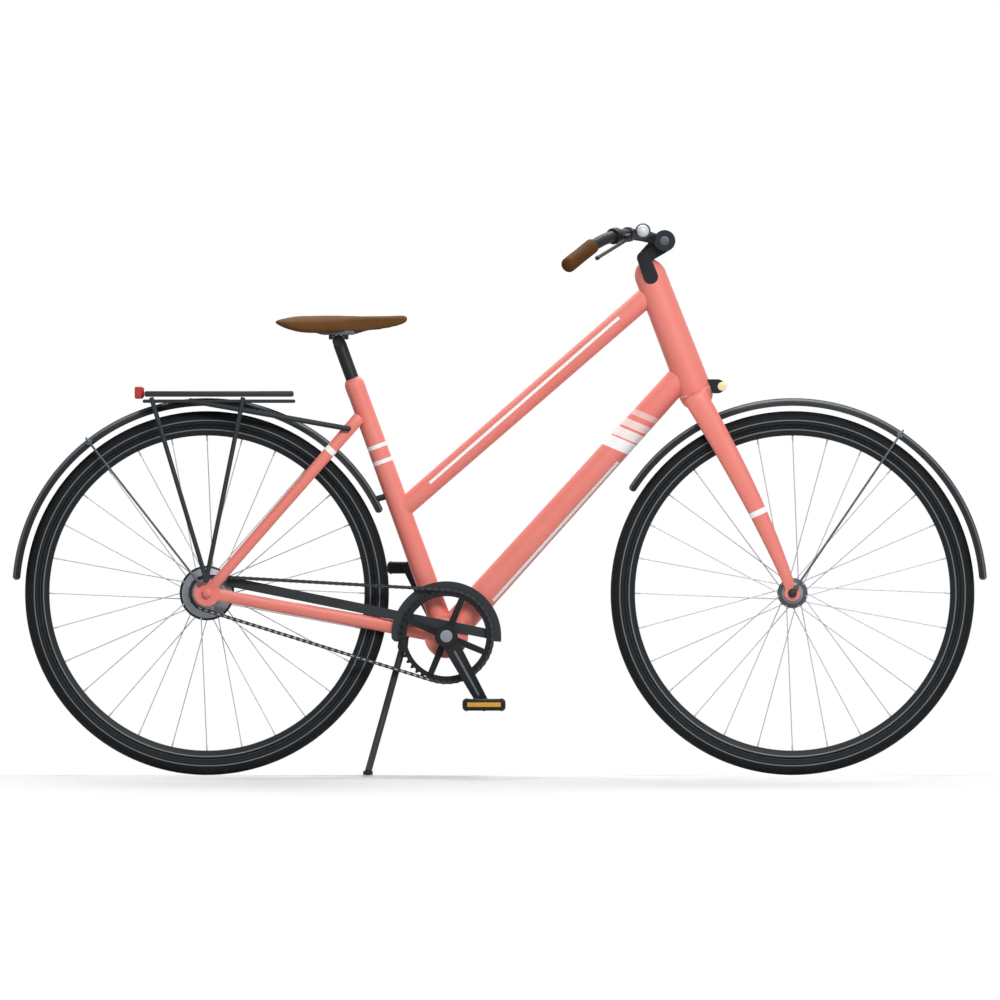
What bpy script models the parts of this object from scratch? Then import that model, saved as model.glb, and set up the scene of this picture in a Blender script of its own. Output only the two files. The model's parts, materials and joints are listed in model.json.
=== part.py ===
"""Commuter bike with a low step-through frame, hub gear, chain guard, rack, mudguards and double-leg stand.

Metres, +Z up, +X forward, the chain side at -Y. The origin is on the ground, midway between the two axles.
"""

import math

import bmesh
import bpy
from mathutils import Matrix, Vector

# Clearances
FIT = 0.0003
RUN = 0.0006

# Wheels
WHEELBASE = 1.123
TYRE_WIDTH = 0.0386
TYRE_HEIGHT = 0.0355
TYRE_SECTION_CENTRE = 0.018
TREAD_WIDTH = 0.015
BEAD_WIDTH = 0.0196
BEAD_RISE = 0.0043
RIM_INNER_RADIUS = 0.302
RIM_DEPTH = 0.0112
WHEEL_RADIUS = RIM_INNER_RADIUS + RIM_DEPTH + FIT + TYRE_HEIGHT
RIM_FLANGE_RISE = 0.0035
RIM_WALL = 0.0018
RIM_CROWN_WIDTH = 0.014
SPOKE_COUNT = 28
SPOKE_RADIUS = 0.001
SPOKE_SEAT = 0.0008
WHEEL_SEGMENTS = 40
TUBE_SEGMENTS = 24
HUB_SEGMENTS = 16

# Hubs and axles
FRONT_FLANGE_RADIUS = 0.029
FRONT_FLANGE_Y = 0.0305
FRONT_BARREL_RADIUS = 0.015
FRONT_CAP_RADIUS = 0.021
FRONT_HUB_HALF = 0.0385
FRONT_LACING_STEPS = 2
FRONT_AXLE_RADIUS = 0.0045
FRONT_DROPOUT_GAP = 0.100
FRONT_NUT_RADIUS = 0.0086
REAR_FLANGE_RADIUS = 0.0525
REAR_FLANGE_Y = 0.0290
REAR_BARREL_RADIUS = 0.034
REAR_CAP_RADIUS = 0.030
REAR_HUB_HALF = 0.0335
REAR_LACING_STEPS = 1
REAR_AXLE_RADIUS = 0.005
REAR_DROPOUT_GAP = 0.135
REAR_NUT_RADIUS = 0.0095
FLANGE_THICKNESS = 0.0046
SPOKE_SIDESTEP = 0.0011
FLANGE_LAND = 0.0055
NUT_HEIGHT = 0.0082
NUT_TOP_SHARE = 0.7
NUT_SHOULDER_SHARE = 0.6
LOCKNUT_RADIUS = 0.009
DROPOUT_THICKNESS = 0.006
REAR_DROPOUT_RADIUS = 0.0255

# Frame
BOTTOM_BRACKET_DROP = 0.0828
SHELL_RADIUS = 0.042
SHELL_BORE_RADIUS = 0.035
SHELL_WIDTH = 0.073
SEAT_ANGLE = math.radians(69.95)
SEAT_TUBE_LENGTH = 0.495
SEAT_TUBE_RADIUS_LOW = 0.0212
SEAT_TUBE_RADIUS_HIGH = 0.0188
SEAT_TUBE_BORE_RADIUS = 0.0132
SEAT_CLAMP_LENGTH = 0.017
SEAT_CLAMP_RADIUS = 0.0192
HEAD_ANGLE = math.radians(68.9)
FORK_OFFSET = 0.035
CROWN_BAR_RISE = 0.051
CROWN_BAR_HEIGHT = WHEEL_RADIUS + CROWN_BAR_RISE
HEAD_RISE = 0.0305
HEAD_LOW = CROWN_BAR_HEIGHT + HEAD_RISE
HEAD_LENGTH = 0.2095
HEAD_HIGH = HEAD_LOW + HEAD_LENGTH
HEAD_RADIUS_LOW = 0.0325
HEAD_RADIUS_HIGH = 0.0305
HEAD_BORE_RADIUS = 0.0265
BEARING_HEIGHT = 0.0034
HEAD_COVER_HEIGHT = 0.0504
HEAD_COVER_RIM = 0.020
STEERER_FLOOR = 0.017
STEERER_RADIUS = 0.0143
STEERER_WALL = 0.0016
DOWN_TUBE_JOINT = 0.0412
DOWN_TUBE_TOP = HEAD_LOW + DOWN_TUBE_JOINT
DOWN_TUBE_RADIUS_LOW = 0.0285
DOWN_TUBE_RADIUS_HIGH = 0.0242
TOP_TUBE_JOINT = 0.0016
TOP_TUBE_TOP = HEAD_HIGH - TOP_TUBE_JOINT
TOP_TUBE_FOOT = 0.2562
TOP_TUBE_RADIUS_LOW = 0.0186
TOP_TUBE_RADIUS_HIGH = 0.0196
SEAT_STAY_HEIGHT = 0.4586
SEAT_STAY_HALF_DEPTH = 0.0075
SEAT_STAY_STATIONS = ((0.0, 0.0093, SEAT_STAY_HALF_DEPTH), (1.0, 0.0122, SEAT_STAY_HALF_DEPTH))
SEAT_STAY_TOP_Y = 0.0255
SEAT_STAY_BENDS = ((0.03, 0.0), (0.45, 0.382), (0.80, 0.779), (0.97, 1.0))
CHAIN_STAY_HALF_DEPTH = 0.0072
CHAIN_STAY_STATIONS = (
    (0.0, 0.0116, 0.0024),
    (0.13, 0.012, CHAIN_STAY_HALF_DEPTH),
    (1.0, 0.0146, CHAIN_STAY_HALF_DEPTH),
)
CHAIN_STAY_FRONT_Y = 0.0262
CHAIN_STAY_START = 0.010
CHAIN_STAY_BENDS = ((0.36, 0.476), (0.68, 0.871), (0.79, 1.0), (0.955, 1.035))

# Fork
CROWN_RADIUS = 0.0326
CROWN_RIM = 0.0025
CROWN_BAR_RADIUS = 0.022
CROWN_BAR_HALF = 0.033
BLADE_TOP_RISE = 0.018
BLADE_TOP_HEIGHT = CROWN_BAR_HEIGHT + BLADE_TOP_RISE
BLADE_TOP_FORWARD = -0.0035
BLADE_STATIONS = (
    (0.0, 0.0236, 0.0110),
    (0.4, 0.0194, 0.0100),
    (0.7, 0.0152, 0.0088),
    (0.9, 0.0118, 0.0078),
    (1.0, 0.0103, 0.0012),
)
BLADE_TOP_Y = 0.0370
BLADE_START_ANGLE = math.radians(-59.3)
BLADE_END_ANGLE = math.radians(-69.4)
BLADE_END = 0.009
FORK_TIP_RADIUS = 0.0155
FORK_TIP_THICKNESS = 0.005

# Drive
PITCH = 0.0127
CHAINRING_TEETH = 44
SPROCKET_TEETH = 16
REAR_TYRE_ROOM = 0.1165
ROLLER_RADIUS = 0.0039
ROLLER_CLEARANCE = 0.00035
TOOTH_THICKNESS = 0.0024
CHAIN_WIDTH = 0.008
CHAIN_SLOT_WIDTH = 0.0038
CHAIN_HEIGHT = 0.0088
CHAIN_LINE = 0.047
TOOTH_TIP = 0.0024
CHAINRING_TIP_HALF = 0.0011
SPROCKET_TIP_HALF = 0.0009
CHAINRING_INNER_RADIUS = 0.0767
SPIDER_REACH = 0.074
SPIDER_ARM_WIDTH = 0.012
SPIDER_THICKNESS = 0.0042
SPIDER_ANGLE = math.radians(67.4)
SPROCKET_SLEEVE_RADIUS = 0.018
SPINDLE_RADIUS = 0.009
SPINDLE_HALF = 0.071
CRANK_LENGTH = 0.150
CRANK_ANGLE = math.radians(-61.2)
CRANK_INNER_Y = 0.0645
CRANK_THICKNESS = 0.0135
CRANK_BOSS_RADIUS = 0.0219
CRANK_BOSS_PROUD = 0.0015
CRANK_BOSS_INSET = 0.006
CRANK_ARM_HIGH = 0.0165
CRANK_ARM_LOW = 0.0114
PEDAL_LENGTH = 0.082
PEDAL_HEIGHT = 0.023
PEDAL_WIDTH = 0.094
PEDAL_GAP = 0.004
PEDAL_AXLE_RADIUS = 0.0065
PEDAL_AXLE_BITE = 0.082
PEDAL_BEVEL = 0.0035
PEDAL_WINDOW_LENGTH = 0.018
PEDAL_WINDOW_WIDTH = 0.0677
PEDAL_WINDOW_OFFSET = 0.0197

# Chain guard
GUARD_THICKNESS = 0.003
GUARD_OUTER_RADIUS = 0.1055
GUARD_WIDTH = 0.017
GUARD_START = math.radians(-6.0)
GUARD_END = math.radians(180.0)
GUARD_BAR_WIDTH = 0.0186
GUARD_BAR_REAR = 0.4127
GUARD_BAR_RISE = 0.0208
GUARD_BAR_SLOPE = math.radians(11.4)
GUARD_BAR_FRONT = 0.0935

# Mudguards and their stays
MUDGUARD_GAP = 0.025
MUDGUARD_RADIUS = WHEEL_RADIUS + MUDGUARD_GAP
MUDGUARD_DEPTH = 0.0142
MUDGUARD_WIDTH = 0.048
MUDGUARD_CROWN_WIDTH = 0.026
MUDGUARD_WALL = 0.0022
REAR_MUDGUARD_SPAN = (math.radians(25.0), math.radians(176.0))
FRONT_MUDGUARD_SPAN = (math.radians(4.0), math.radians(147.6))
MUDGUARD_STEP = math.radians(7.0)
WIRE_RADIUS = 0.0023
REAR_WIRE_ANGLE = math.radians(128.0)
FRONT_WIRE_ANGLE = math.radians(55.8)
WIRE_FOOT = 0.0045
WIRE_SWEEP = 0.012
WIRE_FLARE = 0.0024
MUDGUARD_LUG_ANGLE = math.radians(29.0)
MUDGUARD_LUG_RADIUS = 0.006
MUDGUARD_TAB_RADIUS = 0.007

# Rack and tail light
DECK_OVERHANG = 0.1203
DECK_REAR = -WHEELBASE / 2 - DECK_OVERHANG
DECK_LENGTH = 0.2867
DECK_WIDTH = 0.116
DECK_THICKNESS = 0.011
DECK_BEVEL = 0.002
DECK_SLOT_LENGTH = 0.236
DECK_SLOT_WIDTH = 0.013
DECK_SLOT_COUNT = 3
DECK_SLOT_PITCH = 0.029
RAIL_RADIUS = 0.00335
RAIL_DROP = 0.006
RAIL_HEIGHT = WHEEL_RADIUS + MUDGUARD_RADIUS - RAIL_DROP
RAIL_Y = 0.050
RAIL_CORNER = 0.012
RAIL_CORNER_DEPTH = 0.004
DECK_RISE = 0.0195
DECK_TOP = RAIL_HEIGHT + DECK_RISE
STRUT_RADIUS = 0.0045
STRUT_TOPS = (0.0135, 0.1895)
STRUT_LUG_DISTANCE = 0.0255
STRUT_LUG_ANGLE = math.radians(93.0)
STRUT_LUG_RADIUS = 0.0062
STRUT_TOP_SINK = 0.0016
RACK_STAY_RADIUS = 0.0052
RACK_STAY_START = 0.088
RACK_STAY_LIFT = 0.001
RACK_STAY_SEAT = 0.905
RACK_STAY_SEAT_Y = 0.0305
TAIL_LIGHT_RISE = 0.0087
TAIL_LIGHT_TOP = DECK_TOP + TAIL_LIGHT_RISE
TAIL_LIGHT_HEIGHT = 0.0237
TAIL_LIGHT_WIDTH = 0.062
TAIL_HOUSING_DEPTH = 0.0055
TAIL_LENS_DEPTH = 0.0125
TAIL_HOUSING_INSET = 0.003
TAIL_HOUSING_BEVEL = 0.0012
TAIL_LENS_BEVEL = 0.003

# Saddle and seatpost
SEATPOST_RADIUS = 0.0127
SEATPOST_INSERTION = 0.200
SEATPOST_HEAD = 0.6025
SEATPOST_NECK = 0.006
SEATPOST_HEAD_RADIUS = 0.012
SEATPOST_HEAD_HALF = 0.014
SADDLE_SETBACK = 0.1206
SADDLE_LENGTH = 0.2531
SADDLE_TOP_RISE = 0.0495
SADDLE_BOTTOM_RISE = 0.0162
SADDLE_HALF_WIDTH = 0.086
SADDLE_NOSE_HALF_WIDTH = 0.021
SADDLE_SHELL = 0.016
SADDLE_RAIL_RADIUS = 0.0035
SADDLE_RAIL_Y = 0.022
SADDLE_RAIL_REAR = (0.0766, 0.008, 0.0115)
SADDLE_RAIL_BEND = (0.0586, 0.003, 0.007)
SADDLE_RAIL_FLAT = (0.034, 0.030)
SADDLE_RAIL_NOSE = ((0.0625, 0.009, 0.0100), (0.0705, 0.004, 0.0105))
SADDLE_RAIL_RISE = 0.0163
SADDLE_CLAMP_HALF_LENGTH = 0.019
SADDLE_CLAMP_HALF_WIDTH = 0.0285
SADDLE_CLAMP_LIFT = 0.003
SADDLE_CLAMP_COVER = 0.0015
SADDLE_CLAMP_BEVEL = 0.0015
SADDLE_SHARES = (0.0, 0.06, 0.18, 0.34, 0.50, 0.68, 0.86, 0.96, 1.0)
SADDLE_DIP = 0.0045
SADDLE_TAIL_DROP = 0.006
SADDLE_NOSE_DROP = 0.004
SADDLE_NOSE_LIP_RISE = 0.020
SADDLE_TAIL_LIP_RISE = 0.012
SADDLE_GROOVE = 0.0022
SADDLE_LIP = 0.002
SADDLE_CROWN = 0.0005

# Stem, handlebar, grips and levers
COLUMN_RISE = 0.024
COLUMN_LOW = HEAD_HIGH + COLUMN_RISE
COLUMN_LENGTH = 0.0384
COLUMN_HIGH = COLUMN_LOW + COLUMN_LENGTH
COLUMN_RADIUS_LOW = 0.014
COLUMN_RADIUS_HIGH = 0.013
COLUMN_HALF_WIDTH = 0.0311
STEM_REACH = 0.0494
STEM_RISE = 0.0163
STEM_CLAMP_RADIUS = 0.0207
STEM_CLAMP_HALF_WIDTH = 0.019
QUILL_LENGTH = 0.075
BAR_RADIUS = 0.0111
BAR_BOSS_WIDTH = 0.0236
BAR_START = (-0.0190, 0.0012, 0.0036)
BAR_CURVE = (
    (-0.0305, 0.0430, 0.0072),
    (-0.0447, 0.0710, 0.0102),
    (-0.0637, 0.1220, 0.0122),
    (-0.0897, 0.1680, 0.0107),
    (-0.1137, 0.2000, 0.0034),
    (-0.1377, 0.2280, -0.0090),
    (-0.1877, 0.3010, -0.0490),
)
GRIP_RADIUS = 0.0147
GRIP_LENGTH = 0.096
GRIP_CAP = 0.008
GRIP_CHAMFER = 0.002
LEVER_RADIUS = 0.0043
LEVER_TIP = (-0.1290, 0.2900, -0.0330)
LEVER_PIVOT = (0.0245, 0.0040, -0.0065)
PERCH_SEAT = 10
PERCH_RADIUS = 0.0158
PERCH_ARM_RADIUS = 0.003
PERCH_ARM_LIFT = 0.0065
PERCH_LENGTH = 0.013
PIVOT_PIN_RADIUS = 0.0026
PIVOT_EYE_RADIUS = 0.0068
PIVOT_EYE_HEIGHT = 0.007
LEVER_BLADE_START = 0.003
LEVER_BLADE_RADIUS = 0.00344
LEVER_END_LENGTH = 0.006
LEVER_END_PROUD = 0.002
BELL_SEAT = 8
BELL_RADIUS = 0.0147
BELL_DOME_RADIUS = 0.0131
BELL_DEPTH = 0.016
BELL_BASE_DEPTH = 0.004
BELL_CENTRE = (-0.0416, -0.1500, 0.0188)
BELL_BAND_HALF = 0.005
BELL_BAND_WALL = 0.0032
BELL_ARM_RADIUS = 0.0028
BELL_ARM_END = (-0.008, 0.0, 0.004)
STRIKER_PIVOT = (0.004, 0.0, -0.004)
STRIKER_RADIUS = 0.0042
STRIKER_BORE_RADIUS = 0.0015
STRIKER_THICKNESS = 0.0035
STRIKER_TAIL_RADIUS = 0.0015
STRIKER_TAIL_Y = 0.0019
STRIKER_TAIL = ((0.003, 0.0, 0.0), (0.009, 0.0, -0.012))

# Headlight
LAMP_DROP = 0.0082
LAMP_REACH = 0.0517
LAMP_HEIGHT = 0.0272
LAMP_HALF_WIDTH = 0.015
LAMP_NOSE = 0.0051
LAMP_LENS_RADIUS = 0.0092
LAMP_LENS_PROUD = 0.001

# Stand
STAND_PIVOT_BEHIND = 0.08355
STAND_PIVOT_BELOW = 0.0202
STAND_TUBE_RADIUS = 0.0058
STAND_FOOT_BEHIND = 0.0668
STAND_LEG_Y = 0.030
STAND_FOOT_Y = 0.125
STAND_KNEE = 0.125
STAND_BEND = 0.012
STAND_KNEE_FLARE = 0.002
STAND_ELBOW = 0.0028
STAND_PAD_SEAT = 0.004
STAND_BLOCK_LENGTH = 0.034
STAND_BLOCK_RISE = 0.010
STAND_BLOCK_SKIRT = 0.004
STAND_BLOCK_BEVEL = 0.002
STAND_PAD_RADIUS = 0.0095
STAND_PAD_HEIGHT = 0.008
STAND_BLOCK_HALF_WIDTH = CHAIN_STAY_FRONT_Y - CHAIN_STAY_HALF_DEPTH - FIT

# Finishes: sRGB colour, roughness, metallic
FINISHES = {
    "coral_paint": ((0.94, 0.54, 0.49), 0.35, 0.0),
    "black_paint": ((0.17, 0.19, 0.21), 0.45, 0.0),
    "black_plastic": ((0.13, 0.14, 0.16), 0.55, 0.0),
    "tyre_rubber": ((0.12, 0.13, 0.14), 0.8, 0.0),
    "grey_alloy": ((0.49, 0.52, 0.55), 0.35, 1.0),
    "spoke_steel": ((0.75, 0.76, 0.77), 0.3, 1.0),
    "chain_steel": ((0.20, 0.21, 0.22), 0.4, 1.0),
    "brown_leather": ((0.42, 0.29, 0.17), 0.6, 0.0),
    "red_lens": ((0.80, 0.17, 0.16), 0.2, 0.0),
    "cream_lens": ((0.94, 0.93, 0.71), 0.2, 0.0),
    "bell_steel": ((0.85, 0.86, 0.90), 0.2, 1.0),
}

REAR_AXLE = Vector((-WHEELBASE / 2, 0.0, WHEEL_RADIUS))
FRONT_AXLE = Vector((WHEELBASE / 2, 0.0, WHEEL_RADIUS))
UP = Vector((0.0, 0.0, 1.0))
ACROSS = Vector((0.0, 1.0, 0.0))


# Derived geometry
def pitch_radius(teeth):
    return PITCH / (2 * math.sin(math.pi / teeth))


def links_round(distance):
    """Length of the chain, in links, round both sprockets with their centres this far apart."""
    big = pitch_radius(CHAINRING_TEETH)
    small = pitch_radius(SPROCKET_TEETH)
    lean = math.asin((big - small) / distance)
    links = 2 * math.cos(lean) * distance / PITCH
    links += CHAINRING_TEETH * (math.pi + 2 * lean) / (2 * math.pi)
    return links + SPROCKET_TEETH * (math.pi - 2 * lean) / (2 * math.pi)


def centre_distance():
    """Distance between the two sprocket centres at which the chain closes on its whole number of links."""
    low, high = WHEEL_RADIUS, CHAIN_LINKS * PITCH
    for _ in range(60):
        middle = (low + high) / 2
        if links_round(middle) < CHAIN_LINKS:
            low = middle
        else:
            high = middle
    return middle


CHAIN_LINKS = 2 * math.ceil(links_round(WHEEL_RADIUS + REAR_TYRE_ROOM) / 2)
CENTRES = centre_distance()
CROWN_TOP = HEAD_LOW - BEARING_HEIGHT - FIT
CROWN_DOME_BASE = CROWN_TOP - CROWN_RIM
BEHIND_BRACKET = math.sqrt(CENTRES**2 - BOTTOM_BRACKET_DROP**2)
BOTTOM_BRACKET = REAR_AXLE + Vector((BEHIND_BRACKET, 0.0, -BOTTOM_BRACKET_DROP))
SEAT_DIRECTION = Vector((-math.cos(SEAT_ANGLE), 0.0, math.sin(SEAT_ANGLE)))
STEER_UP = Vector((-math.cos(HEAD_ANGLE), 0.0, math.sin(HEAD_ANGLE)))
STEER_FORWARD = Vector((math.sin(HEAD_ANGLE), 0.0, math.cos(HEAD_ANGLE)))
STEER_FOOT = FRONT_AXLE - STEER_FORWARD * FORK_OFFSET
FRONT_DROPOUT_Y = FRONT_DROPOUT_GAP / 2 + FIT
REAR_DROPOUT_Y = REAR_DROPOUT_GAP / 2 + FIT
POST_HEAD = BOTTOM_BRACKET + SEAT_DIRECTION * SEATPOST_HEAD
SADDLE_REAR = POST_HEAD.x - SADDLE_SETBACK
SADDLE_TOP = POST_HEAD.z + SADDLE_TOP_RISE
SADDLE_BOTTOM = POST_HEAD.z + SADDLE_BOTTOM_RISE
SADDLE_RAIL_Z = POST_HEAD.z + SADDLE_RAIL_RISE


def on_seat_tube(distance):
    return BOTTOM_BRACKET + SEAT_DIRECTION * distance


def on_steering(height, forward=0.0, side=0.0):
    return STEER_FOOT + STEER_UP * height + STEER_FORWARD * forward + ACROSS * side


def polar(centre, radius, angle, side=0.0):
    return centre + Vector((radius * math.cos(angle), side, radius * math.sin(angle)))


def smooth_path(points, pieces):
    """A curve through the given points, cut into the given number of pieces between each two."""
    points = [Vector(point) for point in points]
    padded = [2 * points[0] - points[1], *points, 2 * points[-1] - points[-2]]
    path = []
    for a, b, c, d in zip(padded, padded[1:], padded[2:], padded[3:]):
        for step in range(pieces):
            t = step / pieces
            bend = (2 * a - 5 * b + 4 * c - d) * t**2 + (3 * b - a - 3 * c + d) * t**3
            path.append(b + ((c - a) * t + bend) / 2)
    path.append(points[-1])
    return path


# Scene and materials
def clear_scene():
    for obj in list(bpy.data.objects):
        bpy.data.objects.remove(obj, do_unlink=True)


def new_collection(name):
    collection = bpy.data.collections.new(name)
    bpy.context.scene.collection.children.link(collection)
    return collection


def linear(channel):
    return channel / 12.92 if channel <= 0.04045 else ((channel + 0.055) / 1.055) ** 2.4


def finish(name):
    material = bpy.data.materials.get(name)
    if material is None:
        colour, roughness, metallic = FINISHES[name]
        material = bpy.data.materials.new(name)
        material.use_nodes = True
        shader = material.node_tree.nodes["Principled BSDF"]
        shader.inputs["Base Color"].default_value = (*(linear(c) for c in colour), 1.0)
        shader.inputs["Roughness"].default_value = roughness
        shader.inputs["Metallic"].default_value = metallic
    return material


def place(name, data, matrix, look):
    """A node of the bike, or, with no look, a helper that is only cut away or joined on."""
    obj = bpy.data.objects.new(name, data)
    obj.matrix_world = matrix
    if look:
        obj.data.materials.append(finish(look))
        bpy.data.collections["commuter_bike"].objects.link(obj)
    else:
        obj.hide_render = True
        obj.display_type = "WIRE"
        bpy.data.collections["helpers"].objects.link(obj)
    return obj


def facing(origin, axis):
    """The frame at origin whose local Z looks along axis."""
    turn = UP.rotation_difference(Vector(axis).normalized()).to_matrix().to_4x4()
    return Matrix.Translation(origin) @ turn


SIDE_VIEW = Matrix.Rotation(math.radians(90), 4, "X")


# Shapes
def turned(name, profile, origin, axis, look=None, segments=HUB_SEGMENTS, closed=True):
    """Turns (radius, height) points, which run down the outer side, round the axis."""
    mesh = bpy.data.meshes.new(name)
    edges = [(i, i + 1) for i in range(len(profile) - 1)]
    if closed:
        edges.append((len(profile) - 1, 0))
    mesh.from_pydata([(radius, 0.0, height) for radius, height in profile], edges, [])
    obj = place(name, mesh, facing(origin, axis), look)
    screw = obj.modifiers.new("turn", "SCREW")
    screw.axis = "Z"
    screw.angle = 2 * math.pi
    screw.steps = segments
    screw.render_steps = segments
    screw.use_merge_vertices = True
    screw.merge_threshold = 0.00001
    screw.use_smooth_shade = True
    return obj


def bar(name, start, end, radius, look=None, end_radius=None, segments=HUB_SEGMENTS):
    """A solid round bar from start to end, which may taper."""
    end_radius = radius if end_radius is None else end_radius
    axis = Vector(end) - Vector(start)
    profile = [(0.0, axis.length), (end_radius, axis.length), (radius, 0.0), (0.0, 0.0)]
    return turned(name, profile, start, axis, look, segments, closed=False)


def pipe(name, start, end, radius, bore, look=None, end_radius=None, segments=HUB_SEGMENTS):
    """An open pipe from start to end, which may taper outside."""
    end_radius = radius if end_radius is None else end_radius
    axis = Vector(end) - Vector(start)
    profile = [(end_radius, axis.length), (radius, 0.0), (bore, 0.0), (bore, axis.length)]
    return turned(name, profile, start, axis, look, segments)


def wire(name, points, radius, look=None, resolution=1, closed=False):
    """A round bent bar along the points."""
    curve = bpy.data.curves.new(name, "CURVE")
    curve.dimensions = "3D"
    curve.bevel_depth = radius
    curve.bevel_resolution = resolution
    curve.use_fill_caps = not closed
    spline = curve.splines.new("POLY")
    spline.points.add(len(points) - 1)
    for spot, point in zip(spline.points, points):
        spot.co = (*point, 1.0)
    spline.use_cyclic_u = closed
    return place(name, curve, Matrix(), look)


def plate(name, outlines, thickness, centre, look=None, matrix=SIDE_VIEW):
    """A flat plate with these outlines, seen from the chain side, and its mid-plane at centre."""
    curve = bpy.data.curves.new(name, "CURVE")
    curve.dimensions = "2D"
    curve.fill_mode = "BOTH"
    curve.extrude = thickness / 2
    for outline in outlines:
        spline = curve.splines.new("POLY")
        spline.points.add(len(outline) - 1)
        for spot, (x, y) in zip(spline.points, outline):
            spot.co = (x, y, 0.0, 1.0)
        spline.use_cyclic_u = True
    return place(name, curve, Matrix.Translation(centre) @ matrix, look)


def loft(name, rings, look=None):
    """A closed skin over rings of points, capped at both ends."""
    mesh = bpy.data.meshes.new(name)
    skin = bmesh.new()
    loops = [[skin.verts.new(point) for point in ring] for ring in rings]
    count = len(loops[0])
    for near, far in zip(loops, loops[1:]):
        for i in range(count):
            j = (i + 1) % count
            skin.faces.new((near[i], near[j], far[j], far[i]))
    skin.faces.new(list(reversed(loops[0])))
    skin.faces.new(loops[-1])
    bmesh.ops.recalc_face_normals(skin, faces=skin.faces)
    for face in skin.faces:
        face.smooth = len(face.verts) == 4
    skin.to_mesh(mesh)
    skin.free()
    return place(name, mesh, Matrix(), look)


def oval_ring(centre, along, half_high, half_deep, count=12):
    """An oval in the plane square to along, half_deep across the bike."""
    high = ACROSS.cross(Vector(along).normalized()).normalized()
    turns = (2 * math.pi * i / count for i in range(count))
    return [centre + high * half_high * math.cos(a) + ACROSS * half_deep * math.sin(a) for a in turns]


def oval_tube(name, path, stations, look=None):
    """A tube of oval section, its half height and half depth given at shares of the path."""
    rings = []
    for i, point in enumerate(path):
        share = i / (len(path) - 1)
        along = path[min(i + 1, len(path) - 1)] - path[max(i - 1, 0)]
        along.y = 0.0
        for near, far in zip(stations, stations[1:]):
            if near[0] <= share <= far[0]:
                mix = (share - near[0]) / (far[0] - near[0])
                high = near[1] + (far[1] - near[1]) * mix
                deep = near[2] + (far[2] - near[2]) * mix
        rings.append(oval_ring(point, along, high, deep))
    return loft(name, rings, look)


def block(name, size, centre, look=None, bevel=0.0, matrix=Matrix()):
    """A box with rounded edges."""
    mesh = bpy.data.meshes.new(name)
    box = bmesh.new()
    bmesh.ops.create_cube(box, size=1.0, matrix=Matrix.Diagonal((*size, 1.0)))
    if bevel:
        bmesh.ops.bevel(box, geom=box.edges, offset=bevel, affect="EDGES", segments=1, profile=0.5, material=-1)
    box.to_mesh(mesh)
    box.free()
    return place(name, mesh, Matrix.Translation(centre) @ matrix, look)


def as_mesh(obj):
    """The same object as a mesh with its loose caps welded, ready to be cut or joined."""
    if obj.type == "MESH":
        return obj
    bpy.context.view_layer.update()
    graph = bpy.context.evaluated_depsgraph_get()
    mesh = bpy.data.meshes.new_from_object(obj.evaluated_get(graph))
    weld = bmesh.new()
    weld.from_mesh(mesh)
    bmesh.ops.remove_doubles(weld, verts=weld.verts, dist=0.000001)
    weld.to_mesh(mesh)
    weld.free()
    name, matrix, hidden = obj.name, obj.matrix_world.copy(), obj.hide_render
    collection = obj.users_collection[0]
    look = obj.data.materials[0] if obj.data.materials else None
    bpy.data.objects.remove(obj, do_unlink=True)
    made = bpy.data.objects.new(name, mesh)
    made.matrix_world = matrix
    mesh.materials.clear()
    if look:
        mesh.materials.append(look)
    mesh.shade_smooth()
    mesh.set_sharp_from_angle(angle=math.radians(35))
    made.hide_render = hidden
    made.display_type = "WIRE" if hidden else "TEXTURED"
    collection.objects.link(made)
    return made


def combine(obj, others, operation):
    obj = as_mesh(obj)
    for other in others:
        step = obj.modifiers.new(operation.lower(), "BOOLEAN")
        step.operation = operation
        step.object = as_mesh(other)
        step.solver = "EXACT"
    return obj


def carve(obj, *cutters):
    return combine(obj, cutters, "DIFFERENCE")


def joined(obj, *others):
    return combine(obj, others, "UNION")


def arc(radius, start, end, pieces, centre=(0.0, 0.0)):
    """Points of an arc in a flat outline."""
    turns = (start + (end - start) * i / pieces for i in range(pieces + 1))
    return [(centre[0] + radius * math.cos(a), centre[1] + radius * math.sin(a)) for a in turns]


def ring_outline(radius, pieces):
    return arc(radius, 0, 2 * math.pi * (1 - 1 / pieces), pieces - 1)


def capsule(start, end, start_radius, end_radius, pieces=10):
    """The outline round two circles: round ends and straight sides."""
    along = Vector(end) - Vector(start)
    heading = math.atan2(along.y, along.x)
    lean = math.acos((start_radius - end_radius) / along.length)
    outline = arc(end_radius, heading - lean, heading + lean, pieces, end)
    outline += arc(start_radius, heading + lean, heading + 2 * math.pi - lean, pieces, start)
    return outline


def flat(point):
    return (point.x, point.z)


# Wheels
def tyre(name, axle):
    crown = WHEEL_RADIUS - TYRE_SECTION_CENTRE
    bead = WHEEL_RADIUS - TYRE_HEIGHT
    half_bead = BEAD_WIDTH / 2
    profile = [(bead, half_bead), (bead + BEAD_RISE, half_bead)]
    for degrees in (112, 75):
        turn = math.radians(degrees)
        profile.append((crown + TYRE_SECTION_CENTRE * math.cos(turn), TYRE_WIDTH / 2 * math.sin(turn)))
    profile.append((WHEEL_RADIUS, TREAD_WIDTH / 2))
    profile += [(radius, -height) for radius, height in reversed(profile)]
    return turned(name, profile, axle, ACROSS, "tyre_rubber", WHEEL_SEGMENTS)


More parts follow.
